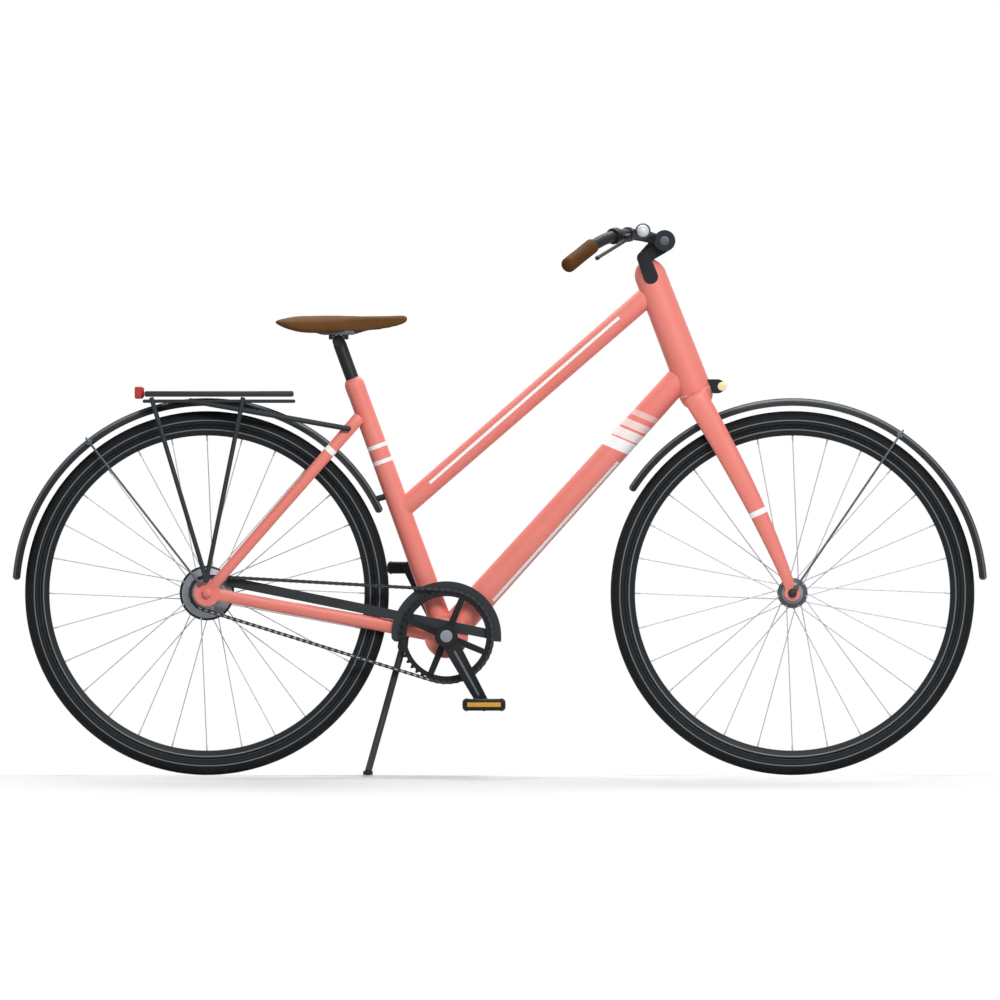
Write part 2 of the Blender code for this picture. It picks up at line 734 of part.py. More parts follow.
def rim(name, axle):
    bed = WHEEL_RADIUS - TYRE_HEIGHT - FIT
    flange = bed + RIM_FLANGE_RISE
    inner = BEAD_WIDTH / 2 + FIT
    outer = inner + RIM_WALL
    profile = [(RIM_INNER_RADIUS, RIM_CROWN_WIDTH / 2), (flange, outer), (flange, inner), (bed, inner)]
    profile += [(radius, -height) for radius, height in reversed(profile)]
    return turned(name, profile, axle, ACROSS, "black_paint", WHEEL_SEGMENTS)


def spoke_set(name, axle, flange_radius, flange_y, lacing_steps):
    """All spokes as one helper mesh: neighbours lean opposite ways, and pairs take turns on the two flanges."""
    step = 2 * math.pi / SPOKE_COUNT
    mesh = bpy.data.meshes.new(name)
    spokes = bmesh.new()
    for i in range(SPOKE_COUNT):
        lean = 1 if i % 2 else -1
        side = -1 if (i // 2) % 2 else 1
        angle = math.pi / 2 - i * step
        foot_y = side * (flange_y - lean * SPOKE_SIDESTEP)
        foot = polar(Vector(), flange_radius - FLANGE_LAND / 2, angle + lean * lacing_steps * step, foot_y)
        tip_radius = RIM_INNER_RADIUS * math.cos(math.pi / WHEEL_SEGMENTS) - FIT
        tip = polar(Vector(), tip_radius, angle, side * SPOKE_SEAT)
        matrix = facing((foot + tip) / 2, tip - foot)
        bmesh.ops.create_cone(
            spokes,
            cap_ends=True,
            segments=4,
            radius1=SPOKE_RADIUS,
            radius2=SPOKE_RADIUS,
            depth=(tip - foot).length,
            matrix=matrix,
        )
    spokes.to_mesh(mesh)
    spokes.free()
    return place(name, mesh, Matrix.Translation(axle), None)


def hub(name, axle, sizes):
    half, cap, flange_radius, flange_y, barrel, axle_radius, lacing = sizes
    bore = axle_radius + RUN
    land = FLANGE_THICKNESS / 2
    top = [(cap, half), (flange_radius, flange_y + land), (flange_radius, flange_y - land)]
    top.append((barrel, flange_y - land - FLANGE_THICKNESS))
    profile = [*top, *((radius, -height) for radius, height in reversed(top)), (bore, -half), (bore, half)]
    shell = turned(name, profile, axle, ACROSS, "grey_alloy")
    return joined(shell, spoke_set(name + "_spokes", axle, flange_radius, flange_y, lacing))


def wheels():
    front = (FRONT_HUB_HALF, FRONT_CAP_RADIUS, FRONT_FLANGE_RADIUS, FRONT_FLANGE_Y, FRONT_BARREL_RADIUS)
    rear = (REAR_HUB_HALF, REAR_CAP_RADIUS, REAR_FLANGE_RADIUS, REAR_FLANGE_Y, REAR_BARREL_RADIUS)
    for end, axle, sizes in (
        ("front", FRONT_AXLE, (*front, FRONT_AXLE_RADIUS, FRONT_LACING_STEPS)),
        ("rear", REAR_AXLE, (*rear, REAR_AXLE_RADIUS, REAR_LACING_STEPS)),
    ):
        tyre(end + "_tyre", axle)
        rim(end + "_rim", axle)
        hub(end + "_hub", axle, sizes)


def axle_shaft(name, axle, radius, nut_radius, dropout_y, thickness, shoulder_y):
    """Axle with its locknuts inside the dropouts and its nuts outside them, in one turned piece."""
    nut = dropout_y + thickness + FIT
    locknut = dropout_y - FIT
    side = [(0.0, nut + NUT_HEIGHT), (nut_radius * NUT_TOP_SHARE, nut + NUT_HEIGHT)]
    side += [(nut_radius, nut + NUT_HEIGHT * NUT_SHOULDER_SHARE), (nut_radius, nut), (radius, nut)]
    side += [(radius, locknut), (LOCKNUT_RADIUS, locknut), (LOCKNUT_RADIUS, shoulder_y), (radius, shoulder_y)]
    profile = [*side, *((r, -height) for r, height in reversed(side))]
    return turned(name, profile, axle, ACROSS, "black_paint", 12, closed=False)


# Frame
def main_tubes():
    shell_ends = across(BOTTOM_BRACKET, SHELL_WIDTH)
    shell_cutter = bar("shell_cutter", *shell_ends, SHELL_RADIUS + FIT, segments=TUBE_SEGMENTS)
    head_low = on_steering(HEAD_LOW)
    head_high = on_steering(HEAD_HIGH)
    pipe(
        "head_tube", head_low, head_high, HEAD_RADIUS_LOW, HEAD_BORE_RADIUS, "coral_paint", HEAD_RADIUS_HIGH,
        TUBE_SEGMENTS,
    )
    head_cutter = bar(
        "head_cutter", head_low, head_high, HEAD_RADIUS_LOW + FIT, None, HEAD_RADIUS_HIGH + FIT, TUBE_SEGMENTS
    )
    name = "bottom_bracket_shell"
    pipe(name, *shell_ends, SHELL_RADIUS, SHELL_BORE_RADIUS, "coral_paint", segments=TUBE_SEGMENTS)
    seat_top = on_seat_tube(SEAT_TUBE_LENGTH)
    seat_tube = pipe(
        "seat_tube", BOTTOM_BRACKET, seat_top, SEAT_TUBE_RADIUS_LOW, SEAT_TUBE_BORE_RADIUS, "coral_paint",
        SEAT_TUBE_RADIUS_HIGH,
    )
    carve(seat_tube, shell_cutter)
    seat_cutter = bar(
        "seat_cutter", BOTTOM_BRACKET, seat_top, SEAT_TUBE_RADIUS_LOW + FIT, None, SEAT_TUBE_RADIUS_HIGH + FIT
    )
    down_tube = bar(
        "down_tube", BOTTOM_BRACKET, on_steering(DOWN_TUBE_TOP), DOWN_TUBE_RADIUS_LOW, "coral_paint",
        DOWN_TUBE_RADIUS_HIGH,
    )
    crown_room = on_steering(CROWN_TOP - CROWN_RADIUS), on_steering(HEAD_LOW + BEARING_HEIGHT)
    below = bar("crown_room", *crown_room, CROWN_RADIUS + RUN, segments=TUBE_SEGMENTS)
    carve(down_tube, shell_cutter, head_cutter, seat_cutter, below)
    top_tube = bar(
        "top_tube", on_seat_tube(TOP_TUBE_FOOT), on_steering(TOP_TUBE_TOP), TOP_TUBE_RADIUS_LOW, "coral_paint",
        TOP_TUBE_RADIUS_HIGH,
    )
    cover_room = on_steering(HEAD_HIGH - BEARING_HEIGHT), on_steering(COLUMN_HIGH)
    above = bar("cover_room", *cover_room, HEAD_RADIUS_HIGH + RUN, segments=TUBE_SEGMENTS)
    carve(top_tube, seat_cutter, head_cutter, above)
    return shell_cutter, seat_cutter


def across(centre, width):
    return centre - ACROSS * width / 2, centre + ACROSS * width / 2


def seat_clamp():
    base = SEAT_TUBE_LENGTH + FIT
    bore = SEAT_TUBE_BORE_RADIUS
    dome = [(SEAT_CLAMP_RADIUS, 0.0)]
    dome.insert(0, (SEAT_CLAMP_RADIUS, SEAT_CLAMP_LENGTH))
    for degrees in (25, 45):
        turn = math.radians(degrees)
        lift = SEAT_CLAMP_LENGTH + SEAT_CLAMP_RADIUS * math.sin(turn)
        dome.insert(0, (SEAT_CLAMP_RADIUS * math.cos(turn), lift))
    profile = [*dome, (bore, 0.0), (bore, dome[0][1])]
    return turned("seat_clamp", profile, on_seat_tube(base), SEAT_DIRECTION, "coral_paint")


def stays(shell_cutter, seat_cutter):
    for name, side in (("right", -1), ("left", 1)):
        outer = REAR_DROPOUT_Y + DROPOUT_THICKNESS / 2
        forward = (BOTTOM_BRACKET - REAR_AXLE).normalized()
        points = [REAR_AXLE + forward * CHAIN_STAY_START + ACROSS * side * outer]
        for share, inward in CHAIN_STAY_BENDS:
            y = outer + (CHAIN_STAY_FRONT_Y - outer) * inward
            points.append(REAR_AXLE + forward * CENTRES * share + ACROSS * side * y)
        dropout = pipe(
            "dropout_plate_" + name,
            REAR_AXLE + ACROSS * side * REAR_DROPOUT_Y,
            REAR_AXLE + ACROSS * side * (REAR_DROPOUT_Y + DROPOUT_THICKNESS),
            REAR_DROPOUT_RADIUS,
            REAR_AXLE_RADIUS + FIT,
        )
        path = smooth_path(points, 2)
        chain_stay = oval_tube("chain_stay_" + name, path, CHAIN_STAY_STATIONS, "coral_paint")
        carve(joined(chain_stay, dropout), shell_cutter)
        rise = on_seat_tube(SEAT_STAY_HEIGHT) - REAR_AXLE
        points = []
        for share, inward in SEAT_STAY_BENDS:
            y = outer + (SEAT_STAY_TOP_Y - outer) * inward
            points.append(REAR_AXLE + rise * share + ACROSS * side * y)
        path = smooth_path(points, 2)
        seat_stay = oval_tube("seat_stay_" + name, path, SEAT_STAY_STATIONS, "coral_paint")
        plate_cutter = bar(
            "plate_cutter_" + name,
            REAR_AXLE + ACROSS * side * (REAR_DROPOUT_Y - FIT - SEAT_STAY_HALF_DEPTH),
            REAR_AXLE + ACROSS * side * (REAR_DROPOUT_Y + DROPOUT_THICKNESS + FIT + SEAT_STAY_HALF_DEPTH),
            REAR_DROPOUT_RADIUS + FIT,
        )
        carve(seat_stay, plate_cutter, seat_cutter)


def bottom_bracket():
    half = SHELL_WIDTH / 2
    shaft = SPINDLE_RADIUS + RUN
    flange = SHELL_BORE_RADIUS - FIT
    cartridge = [(flange, half - FIT), (flange, -half + FIT), (shaft, -half + FIT), (shaft, half - FIT)]
    turned("bottom_bracket_cartridge", cartridge, BOTTOM_BRACKET, ACROSS, "grey_alloy")


def headset():
    for name, base, radius in (
        ("headset_lower_bearing", CROWN_TOP + FIT, HEAD_RADIUS_LOW),
        ("headset_upper_bearing", HEAD_HIGH + FIT, HEAD_RADIUS_HIGH),
    ):
        top = on_steering(base + BEARING_HEIGHT - FIT)
        bore = STEERER_RADIUS + FIT
        pipe(name, on_steering(base), top, radius, bore, "coral_paint", segments=TUBE_SEGMENTS)


# Fork
def fork():
    wall = STEERER_RADIUS - STEERER_WALL
    steerer_top = COLUMN_LOW - COLUMN_RADIUS_LOW - FIT
    dome = []
    for degrees in (0, 30, 60, 90):
        turn = math.radians(degrees)
        dome.append((CROWN_RADIUS * math.cos(turn), CROWN_DOME_BASE - CROWN_RADIUS * math.sin(turn)))
    profile = [(wall, steerer_top), (STEERER_RADIUS, steerer_top), (STEERER_RADIUS, CROWN_TOP)]
    profile += [(CROWN_RADIUS, CROWN_TOP), *dome[:-1], (0.0, dome[-1][1])]
    bore_floor = CROWN_TOP - STEERER_FLOOR
    profile = [(0.0, bore_floor), (wall, bore_floor), *profile]
    steerer = turned("fork_steerer", profile, STEER_FOOT, STEER_UP, "coral_paint", TUBE_SEGMENTS, closed=False)
    bar_centre = on_steering(CROWN_BAR_HEIGHT)
    crown_ends = across(bar_centre, 2 * CROWN_BAR_HALF)
    joined(steerer, bar("crown_bar", *crown_ends, CROWN_BAR_RADIUS, segments=TUBE_SEGMENTS))
    cutter_ends = across(bar_centre, 2 * (CROWN_BAR_HALF + FIT))
    crown_cutter = bar("crown_cutter", *cutter_ends, CROWN_BAR_RADIUS + FIT, segments=TUBE_SEGMENTS)
    dome_ends = on_steering(CROWN_DOME_BASE - CROWN_RADIUS), on_steering(HEAD_HIGH)
    dome_cutter = bar("crown_dome_cutter", *dome_ends, CROWN_RADIUS + FIT, segments=TUBE_SEGMENTS)
    start = on_steering(BLADE_TOP_HEIGHT, BLADE_TOP_FORWARD)
    first = Vector((math.cos(BLADE_START_ANGLE), 0.0, math.sin(BLADE_START_ANGLE)))
    last = Vector((math.cos(BLADE_END_ANGLE), 0.0, math.sin(BLADE_END_ANGLE)))
    end = FRONT_AXLE - last * BLADE_END
    gap = end - start
    reach = (gap.x * last.z - gap.z * last.x) / (first.x * last.z - first.z * last.x)
    corner = start + first * reach
    for name, side in (("right", -1), ("left", 1)):
        tip_inner = FRONT_AXLE + ACROSS * side * FRONT_DROPOUT_Y
        tip_outer = tip_inner + ACROSS * side * FORK_TIP_THICKNESS
        path = []
        for i in range(8):
            t = i / 7
            point = start * (1 - t) ** 2 + corner * 2 * t * (1 - t) + end * t**2
            point.y = side * BLADE_TOP_Y * (1 - t) + (tip_inner.y + tip_outer.y) / 2 * t
            path.append(point)
        blade = oval_tube("fork_blade_" + name, path, BLADE_STATIONS, "coral_paint")
        tip = pipe("fork_tip_" + name, tip_inner, tip_outer, FORK_TIP_RADIUS, FRONT_AXLE_RADIUS + FIT)
        carve(joined(blade, tip), crown_cutter, dome_cutter)


def head_cover():
    """Domed cover that turns with the steerer, slotted for the foot of the stem."""
    cover_base = HEAD_HIGH + BEARING_HEIGHT + FIT
    bore = STEERER_RADIUS + FIT
    dome_base = HEAD_COVER_RIM
    dome_height = HEAD_COVER_HEIGHT - HEAD_COVER_RIM
    profile = []
    for degrees in (60, 40, 20, 0):
        turn = math.radians(degrees)
        profile.append((HEAD_RADIUS_HIGH * math.cos(turn), dome_base + dome_height * math.sin(turn)))
    profile += [(HEAD_RADIUS_HIGH, 0.0), (bore, 0.0), (bore, profile[0][1])]
    cover = turned("head_cover", profile, on_steering(cover_base), STEER_UP, "coral_paint", TUBE_SEGMENTS)
    low, high = flat(on_steering(COLUMN_LOW)), flat(on_steering(COLUMN_HIGH))
    slot_outline = capsule(low, high, COLUMN_RADIUS_LOW + FIT, COLUMN_RADIUS_HIGH + FIT)
    carve(cover, plate("cover_slot", [slot_outline], 4 * COLUMN_HALF_WIDTH, Vector()))


def bar_clamp_centre():
    return on_steering(COLUMN_HIGH + STEM_RISE, STEM_REACH)


def stem():
    knee = flat(on_steering(COLUMN_HIGH))
    column = capsule(flat(on_steering(COLUMN_LOW)), knee, COLUMN_RADIUS_LOW, COLUMN_RADIUS_HIGH)
    arm = capsule(knee, flat(bar_clamp_centre()), COLUMN_RADIUS_HIGH - FIT, STEM_CLAMP_RADIUS, 12)
    body = plate("stem", [column], 2 * COLUMN_HALF_WIDTH, Vector(), "black_paint")
    arm = plate("stem_arm", [arm], 2 * STEM_CLAMP_HALF_WIDTH, Vector())
    quill_radius = STEERER_RADIUS - STEERER_WALL - FIT
    quill = bar("stem_quill", on_steering(COLUMN_LOW - QUILL_LENGTH), on_steering(COLUMN_LOW), quill_radius)
    bore = bar("stem_bore", *across(bar_clamp_centre(), 4 * STEM_CLAMP_HALF_WIDTH), BAR_RADIUS + FIT)
    carve(joined(body, arm, quill), bore)


def bar_points():
    """The left half of the bar's line, from the boss on the stem to the end under the grip."""
    clamp = bar_clamp_centre()
    boss = clamp + ACROSS * (STEM_CLAMP_HALF_WIDTH + FIT + BAR_BOSS_WIDTH / 2)
    return [boss, boss + Vector(BAR_START), *(clamp + Vector(offset) for offset in BAR_CURVE)]


def bar_path():
    """The left half of the bar's line, smoothed, with its straight end under the grip."""
    points = bar_points()
    return smooth_path(points[:-1], 2) + [points[-1]]


def bar_seat(index, side):
    """Middle and direction of one straight piece of the bar, where a clamp can sit."""
    near, far = bar_path()[index : index + 2]
    seat = near.lerp(far, 0.5)
    along = (far - near).normalized()
    return (mirrored(seat), mirrored(along)) if side < 0 else (seat, along)


def mirrored(point):
    return Vector((point.x, -point.y, point.z))


def handlebar():
    clamp = bar_clamp_centre()
    inner = STEM_CLAMP_HALF_WIDTH + FIT
    centre = bar("handlebar", *across(clamp, 2 * inner + BAR_BOSS_WIDTH), BAR_RADIUS, "black_paint")
    left = bar_path()
    pieces = []
    for side, path in ((1, left), (-1, [mirrored(point) for point in left])):
        near = clamp + ACROSS * side * inner
        far = clamp + ACROSS * side * (inner + BAR_BOSS_WIDTH)
        pieces.append(bar("bar_boss", near, far, STEM_CLAMP_RADIUS))
        pieces.append(wire("bar_side", path, BAR_RADIUS, None, 2))
    joined(centre, *pieces)


def grips():
    points = bar_points()
    for name, start, end in (
        ("grip_left", points[-2], points[-1]),
        ("grip_right", mirrored(points[-2]), mirrored(points[-1])),
    ):
        axis = (end - start).normalized()
        length = (end - start).length
        bore = BAR_RADIUS + FIT
        front = length - GRIP_LENGTH
        profile = []
        for degrees in (90, 60, 30, 0):
            turn = math.radians(degrees)
            profile.append((GRIP_RADIUS * math.cos(turn), length + GRIP_CAP * (math.sin(turn) - 0.6)))
        profile += [(GRIP_RADIUS, front + GRIP_CHAMFER), (GRIP_RADIUS - GRIP_CHAMFER, front), (bore, front)]
        profile += [(bore, length + FIT), (0.0, length + FIT)]
        turned(name, profile, start, axis, "brown_leather", closed=False)


def lever_frame(side):
    """Pivot, lever tip and pivot axis of a brake lever. The axis is such that pulling turns it positively."""
    points = bar_points()
    tip = bar_clamp_centre() + Vector(LEVER_TIP)
    seat = bar_seat(PERCH_SEAT, 1)[0]
    pivot = seat + Vector(LEVER_PIVOT)
    grip_axis = (points[-1] - points[-2]).normalized()
    lever = (tip - pivot).normalized()
    nearest = points[-2] + grip_axis * (tip - points[-2]).dot(grip_axis)
    pull = nearest - tip
    pull = (pull - lever * pull.dot(lever)).normalized()
    axis = lever.cross(pull)
    if side < 0:
        return mirrored(pivot), mirrored(tip), -mirrored(axis)
    return pivot, tip, axis


def brake_levers():
    for name, side in (("right", -1), ("left", 1)):
        pivot, tip, axis = lever_frame(side)
        upward = axis if axis.z > 0 else -axis
        seat, along = bar_seat(PERCH_SEAT, side)
        half = PERCH_LENGTH / 2
        ring = pipe(
            "lever_perch_" + name, seat - along * half, seat + along * half, PERCH_RADIUS, BAR_RADIUS + RUN,
            "black_plastic",
        )
        eye_half = PIVOT_EYE_HEIGHT / 2
        cheek = 2 * PERCH_ARM_RADIUS
        lug_low = pivot + upward * (eye_half + FIT)
        lug = bar("perch_lug_" + name, lug_low, lug_low + upward * cheek, PIVOT_EYE_RADIUS, segments=12)
        pin_ends = pivot - upward * eye_half, lug_low + upward * FIT
        pin = bar("perch_pin_" + name, *pin_ends, PIVOT_PIN_RADIUS, segments=8)
        outward = (pivot - seat).normalized()
        arm_start = seat + outward * (BAR_RADIUS + PERCH_ARM_RADIUS) + upward * PERCH_ARM_LIFT
        arm = wire("perch_arm_" + name, [arm_start, lug_low + upward * cheek / 2], PERCH_ARM_RADIUS)
        joined(ring, lug, arm, pin)
        direction = (tip - pivot).normalized()
        eye = bar(
            "brake_lever_" + name, pivot - upward * eye_half, pivot + upward * eye_half, PIVOT_EYE_RADIUS,
            "black_plastic", segments=12,
        )
        blade_points = smooth_path([pivot + direction * LEVER_BLADE_START, pivot.lerp(tip, 0.5), tip], 2)
        blade = wire("lever_blade_" + name, blade_points, LEVER_BLADE_RADIUS)
        end_start = tip - direction * LEVER_END_LENGTH
        end = bar("lever_end_" + name, end_start, tip + direction * LEVER_END_PROUD, LEVER_RADIUS, segments=8)
        bore = bar(
            "lever_bore_" + name, pivot - upward * 2 * eye_half, pivot + upward * 2 * eye_half,
            PIVOT_PIN_RADIUS + FIT, segments=8,
        )
        carve(joined(eye, blade, end), bore)


def bell_centre():
    """Centre of the bell's back face, which stands clear in front of the swept bar."""
    return bar_clamp_centre() + Vector(BELL_CENTRE)


def bell():
    back = bell_centre()
    profile = [(0.0, BELL_DEPTH)]
    for degrees in (55, 20):
        turn = math.radians(degrees)
        lift = BELL_BASE_DEPTH + (BELL_DEPTH - BELL_BASE_DEPTH) * math.sin(turn)
        profile.append((BELL_DOME_RADIUS * math.cos(turn), lift))
    profile += [(BELL_RADIUS, BELL_BASE_DEPTH), (BELL_RADIUS, 0.0), (0.0, 0.0)]
    body = turned("bell", profile, back, -ACROSS, "bell_steel", closed=False)
    seat, along = bar_seat(BELL_SEAT, -1)
    band_ends = seat - along * BELL_BAND_HALF, seat + along * BELL_BAND_HALF
    band = pipe("bell_band", *band_ends, BAR_RADIUS + BELL_BAND_WALL, BAR_RADIUS + RUN)
    rim_point = back + Vector(BELL_ARM_END)
    toward = (rim_point - seat).normalized()
    arm_start = seat + toward * (BAR_RADIUS + RUN + BELL_BAND_WALL / 2)
    bite = ACROSS * BELL_BASE_DEPTH / 2
    arm = wire("bell_arm", [arm_start, rim_point + bite / 2, rim_point - bite], BELL_ARM_RADIUS)
    joined(body, band, arm)
    return back


def bell_striker(back):
    """Small sprung hammer on a pin behind the bell, turned by the thumb."""
    pivot = back + Vector(STRIKER_PIVOT)
    ring = pipe(
        "bell_striker", pivot + ACROSS * FIT, pivot + ACROSS * STRIKER_THICKNESS, STRIKER_RADIUS,
        STRIKER_BORE_RADIUS, "black_plastic", segments=12,
    )
    tail_points = [pivot + ACROSS * STRIKER_TAIL_Y + Vector(offset) for offset in STRIKER_TAIL]
    joined(ring, wire("striker_tail", tail_points, STRIKER_TAIL_RADIUS))


# Drive
def toothed_outline(teeth, tip_half, phase):
    """Outline of a sprocket, with the gap between two teeth at the phase angle."""
    outline = []
    radius = pitch_radius(teeth)
    root = radius - ROLLER_RADIUS - ROLLER_CLEARANCE
    tip = radius + TOOTH_TIP
    step = 2 * math.pi / teeth
    for i in range(teeth):
        gap = phase + i * step
        outline.append((root * math.cos(gap), root * math.sin(gap)))
        outline += arc(tip, gap + step / 2 - tip_half / tip, gap + step / 2 + tip_half / tip, 1)
    return outline


def chain_pins():
    """The chain's pins in the side plane, with the outward direction at each, and the two sprockets' phases."""
    big = pitch_radius(CHAINRING_TEETH)
    small = pitch_radius(SPROCKET_TEETH)
    forward = (BOTTOM_BRACKET - REAR_AXLE).normalized()
    heading = math.atan2(forward.z, forward.x)
    lean = math.asin((big - small) / CENTRES)
    upper = heading + math.pi / 2 + lean
    lower = heading - math.pi / 2 - lean
    front_wrap = CHAINRING_TEETH * (math.pi + 2 * lean) / (2 * math.pi)
    rear_wrap = SPROCKET_TEETH * (math.pi - 2 * lean) / (2 * math.pi)
    run = CENTRES * math.cos(lean) / PITCH
    pins = []
    for at in range(CHAIN_LINKS):
        if at < front_wrap:
            angle = upper - at * 2 * math.pi / CHAINRING_TEETH
            point = polar(BOTTOM_BRACKET, big, angle)
        elif at < front_wrap + run:
            angle = lower
            start = polar(BOTTOM_BRACKET, big, angle)
            end = polar(REAR_AXLE, small, angle)
            point = start.lerp(end, (at - front_wrap) / run)
        elif at < front_wrap + run + rear_wrap:
            angle = lower - (at - front_wrap - run) * 2 * math.pi / SPROCKET_TEETH
            point = polar(REAR_AXLE, small, angle)
        else:
            angle = upper
            start = polar(REAR_AXLE, small, angle)
            end = polar(BOTTOM_BRACKET, big, angle)
            point = start.lerp(end, (at - front_wrap - run - rear_wrap) / run)
        pins.append((point, angle))
    first_rear = math.ceil(front_wrap + run)
    return pins, upper, pins[first_rear][1]


def chain():
    """The chain as one closed band, slotted from its inner side for the teeth that run in it."""
    pins = chain_pins()[0]

    def loop(offset):
        outline = []
        for before, (point, angle), after in zip(pins[-1:] + pins, pins, pins[1:] + pins[:1]):
            if before[1] != angle or after[1] != angle:
                outline.append(flat(polar(point, offset, angle)))
        return outline

    centre = -ACROSS * CHAIN_LINE
    half = CHAIN_HEIGHT / 2
    small = pitch_radius(SPROCKET_TEETH)
    roof = (small + TOOTH_TIP) / math.cos(math.pi / SPROCKET_TEETH) - small + FIT
    band = plate("chain", [loop(half), loop(-half)], CHAIN_WIDTH, centre, "chain_steel")
    slot = plate("chain_slot", [loop(roof), loop(-CHAIN_HEIGHT)], CHAIN_SLOT_WIDTH, centre)
    carve(band, slot)


def chainring():
    _, phase, _ = chain_pins()
    outline = toothed_outline(CHAINRING_TEETH, CHAINRING_TIP_HALF, phase)
    hole = ring_outline(CHAINRING_INNER_RADIUS, 32)
    plate("chainring", [outline, hole], TOOTH_THICKNESS, BOTTOM_BRACKET - ACROSS * CHAIN_LINE, "black_paint")


def sprocket():
    _, _, phase = chain_pins()
    outline = toothed_outline(SPROCKET_TEETH, SPROCKET_TIP_HALF, phase)
    hole = ring_outline((SPROCKET_SLEEVE_RADIUS + REAR_AXLE_RADIUS) / 2, 8)
    teeth = plate("sprocket", [outline, hole], TOOTH_THICKNESS, REAR_AXLE - ACROSS * CHAIN_LINE, "grey_alloy")
    inner = REAR_AXLE - ACROSS * (REAR_HUB_HALF + FIT)
    outer = REAR_AXLE - ACROSS * (CHAIN_LINE + TOOTH_THICKNESS * 1.5)
    joined(teeth, pipe("sprocket_sleeve", inner, outer, SPROCKET_SLEEVE_RADIUS, REAR_AXLE_RADIUS + RUN))


def cranks():
    bar("crank_spindle", *across(BOTTOM_BRACKET, 2 * SPINDLE_HALF), SPINDLE_RADIUS, "grey_alloy")
    for name, side, angle in (("right", -1, CRANK_ANGLE), ("left", 1, CRANK_ANGLE + math.pi)):
        middle_y = side * (CRANK_INNER_Y + CRANK_THICKNESS / 2)
        tip = polar(Vector(), CRANK_LENGTH, angle)
        outline = capsule((0.0, 0.0), flat(tip), CRANK_ARM_HIGH, CRANK_ARM_LOW)
        centre = BOTTOM_BRACKET + ACROSS * middle_y
        arm = plate("crank_" + name, [outline], CRANK_THICKNESS, centre, "black_paint")
        boss_inner = CHAIN_LINE + TOOTH_THICKNESS / 2 + FIT if side < 0 else CRANK_INNER_Y - CRANK_BOSS_INSET
        boss_outer = CRANK_INNER_Y + CRANK_THICKNESS + CRANK_BOSS_PROUD
        boss_ends = BOTTOM_BRACKET + ACROSS * side * boss_inner, BOTTOM_BRACKET + ACROSS * side * boss_outer
        pieces = [bar("crank_boss_" + name, *boss_ends, CRANK_BOSS_RADIUS)]
        if side < 0:
            spider_y = boss_inner + SPIDER_THICKNESS / 2
            for i in range(4):
                reach = polar(Vector(), SPIDER_REACH, SPIDER_ANGLE + i * math.pi / 2)
                half = SPIDER_ARM_WIDTH / 2
                spoke = capsule((0.0, 0.0), flat(reach), half, half, 6)
                spot = BOTTOM_BRACKET - ACROSS * spider_y
                pieces.append(plate(f"spider_arm_{i}", [spoke], SPIDER_THICKNESS, spot))
        axle_start = BOTTOM_BRACKET + tip + ACROSS * middle_y
        axle_end = BOTTOM_BRACKET + tip + ACROSS * side * (CRANK_INNER_Y + CRANK_THICKNESS + PEDAL_AXLE_BITE)
        pieces.append(bar("pedal_axle_" + name, axle_start, axle_end, PEDAL_AXLE_RADIUS))
        bore_ends = across(BOTTOM_BRACKET, 2 * (SPINDLE_HALF + FIT))
        bore = bar("crank_bore_" + name, *bore_ends, SPINDLE_RADIUS + FIT)
        carve(joined(arm, *pieces), bore)
        pedal(name, side, BOTTOM_BRACKET + tip)


def pedal(name, side, centre):
    inner = CRANK_INNER_Y + CRANK_THICKNESS + PEDAL_GAP
    middle = centre + ACROSS * side * (inner + PEDAL_WIDTH / 2)
    size = (PEDAL_LENGTH, PEDAL_WIDTH, PEDAL_HEIGHT)
    body = block("pedal_" + name, size, middle, "black_plastic", PEDAL_BEVEL)
    window = (PEDAL_WINDOW_LENGTH, PEDAL_WINDOW_WIDTH, PEDAL_HEIGHT * 2)
    cutters = []
    for end in (-1, 1):
        spot = middle + Vector((end * PEDAL_WINDOW_OFFSET, 0.0, 0.0))
        cutters.append(block(f"pedal_window_{name}", window, spot))
    bore_end = centre + ACROSS * side * (CRANK_INNER_Y + CRANK_THICKNESS + PEDAL_AXLE_BITE + FIT)
    cutters.append(bar("pedal_bore_" + name, centre, bore_end, PEDAL_AXLE_RADIUS + FIT))
    carve(body, *cutters)


def chain_guard():
    """Flat guard behind the chainring: an arc over the top and a long bar back to the hub."""
    middle = GUARD_OUTER_RADIUS - GUARD_WIDTH / 2
    half = GUARD_WIDTH / 2
    outline = arc(GUARD_OUTER_RADIUS, GUARD_START, GUARD_END, 24)
    end_centre = (middle * math.cos(GUARD_END), middle * math.sin(GUARD_END))
    outline += arc(half, GUARD_END, GUARD_END + math.pi, 6, end_centre)[1:-1]
    outline += arc(GUARD_OUTER_RADIUS - GUARD_WIDTH, GUARD_END, GUARD_START, 24)
    y = SHELL_WIDTH / 2 + FIT + GUARD_THICKNESS / 2
    centre = BOTTOM_BRACKET - ACROSS * y
    band = plate("chain_guard", [outline], GUARD_THICKNESS, centre, "black_paint")
    slope = math.tan(GUARD_BAR_SLOPE)
    rear = (-GUARD_BAR_REAR, GUARD_BAR_RISE + GUARD_BAR_REAR * slope)
    front = (GUARD_BAR_FRONT, GUARD_BAR_RISE - GUARD_BAR_FRONT * slope)
    half_bar = GUARD_BAR_WIDTH / 2
    long_bar = plate("guard_bar", [capsule(rear, front, half_bar, half_bar, 8)], GUARD_THICKNESS, centre)
    joined(band, long_bar)


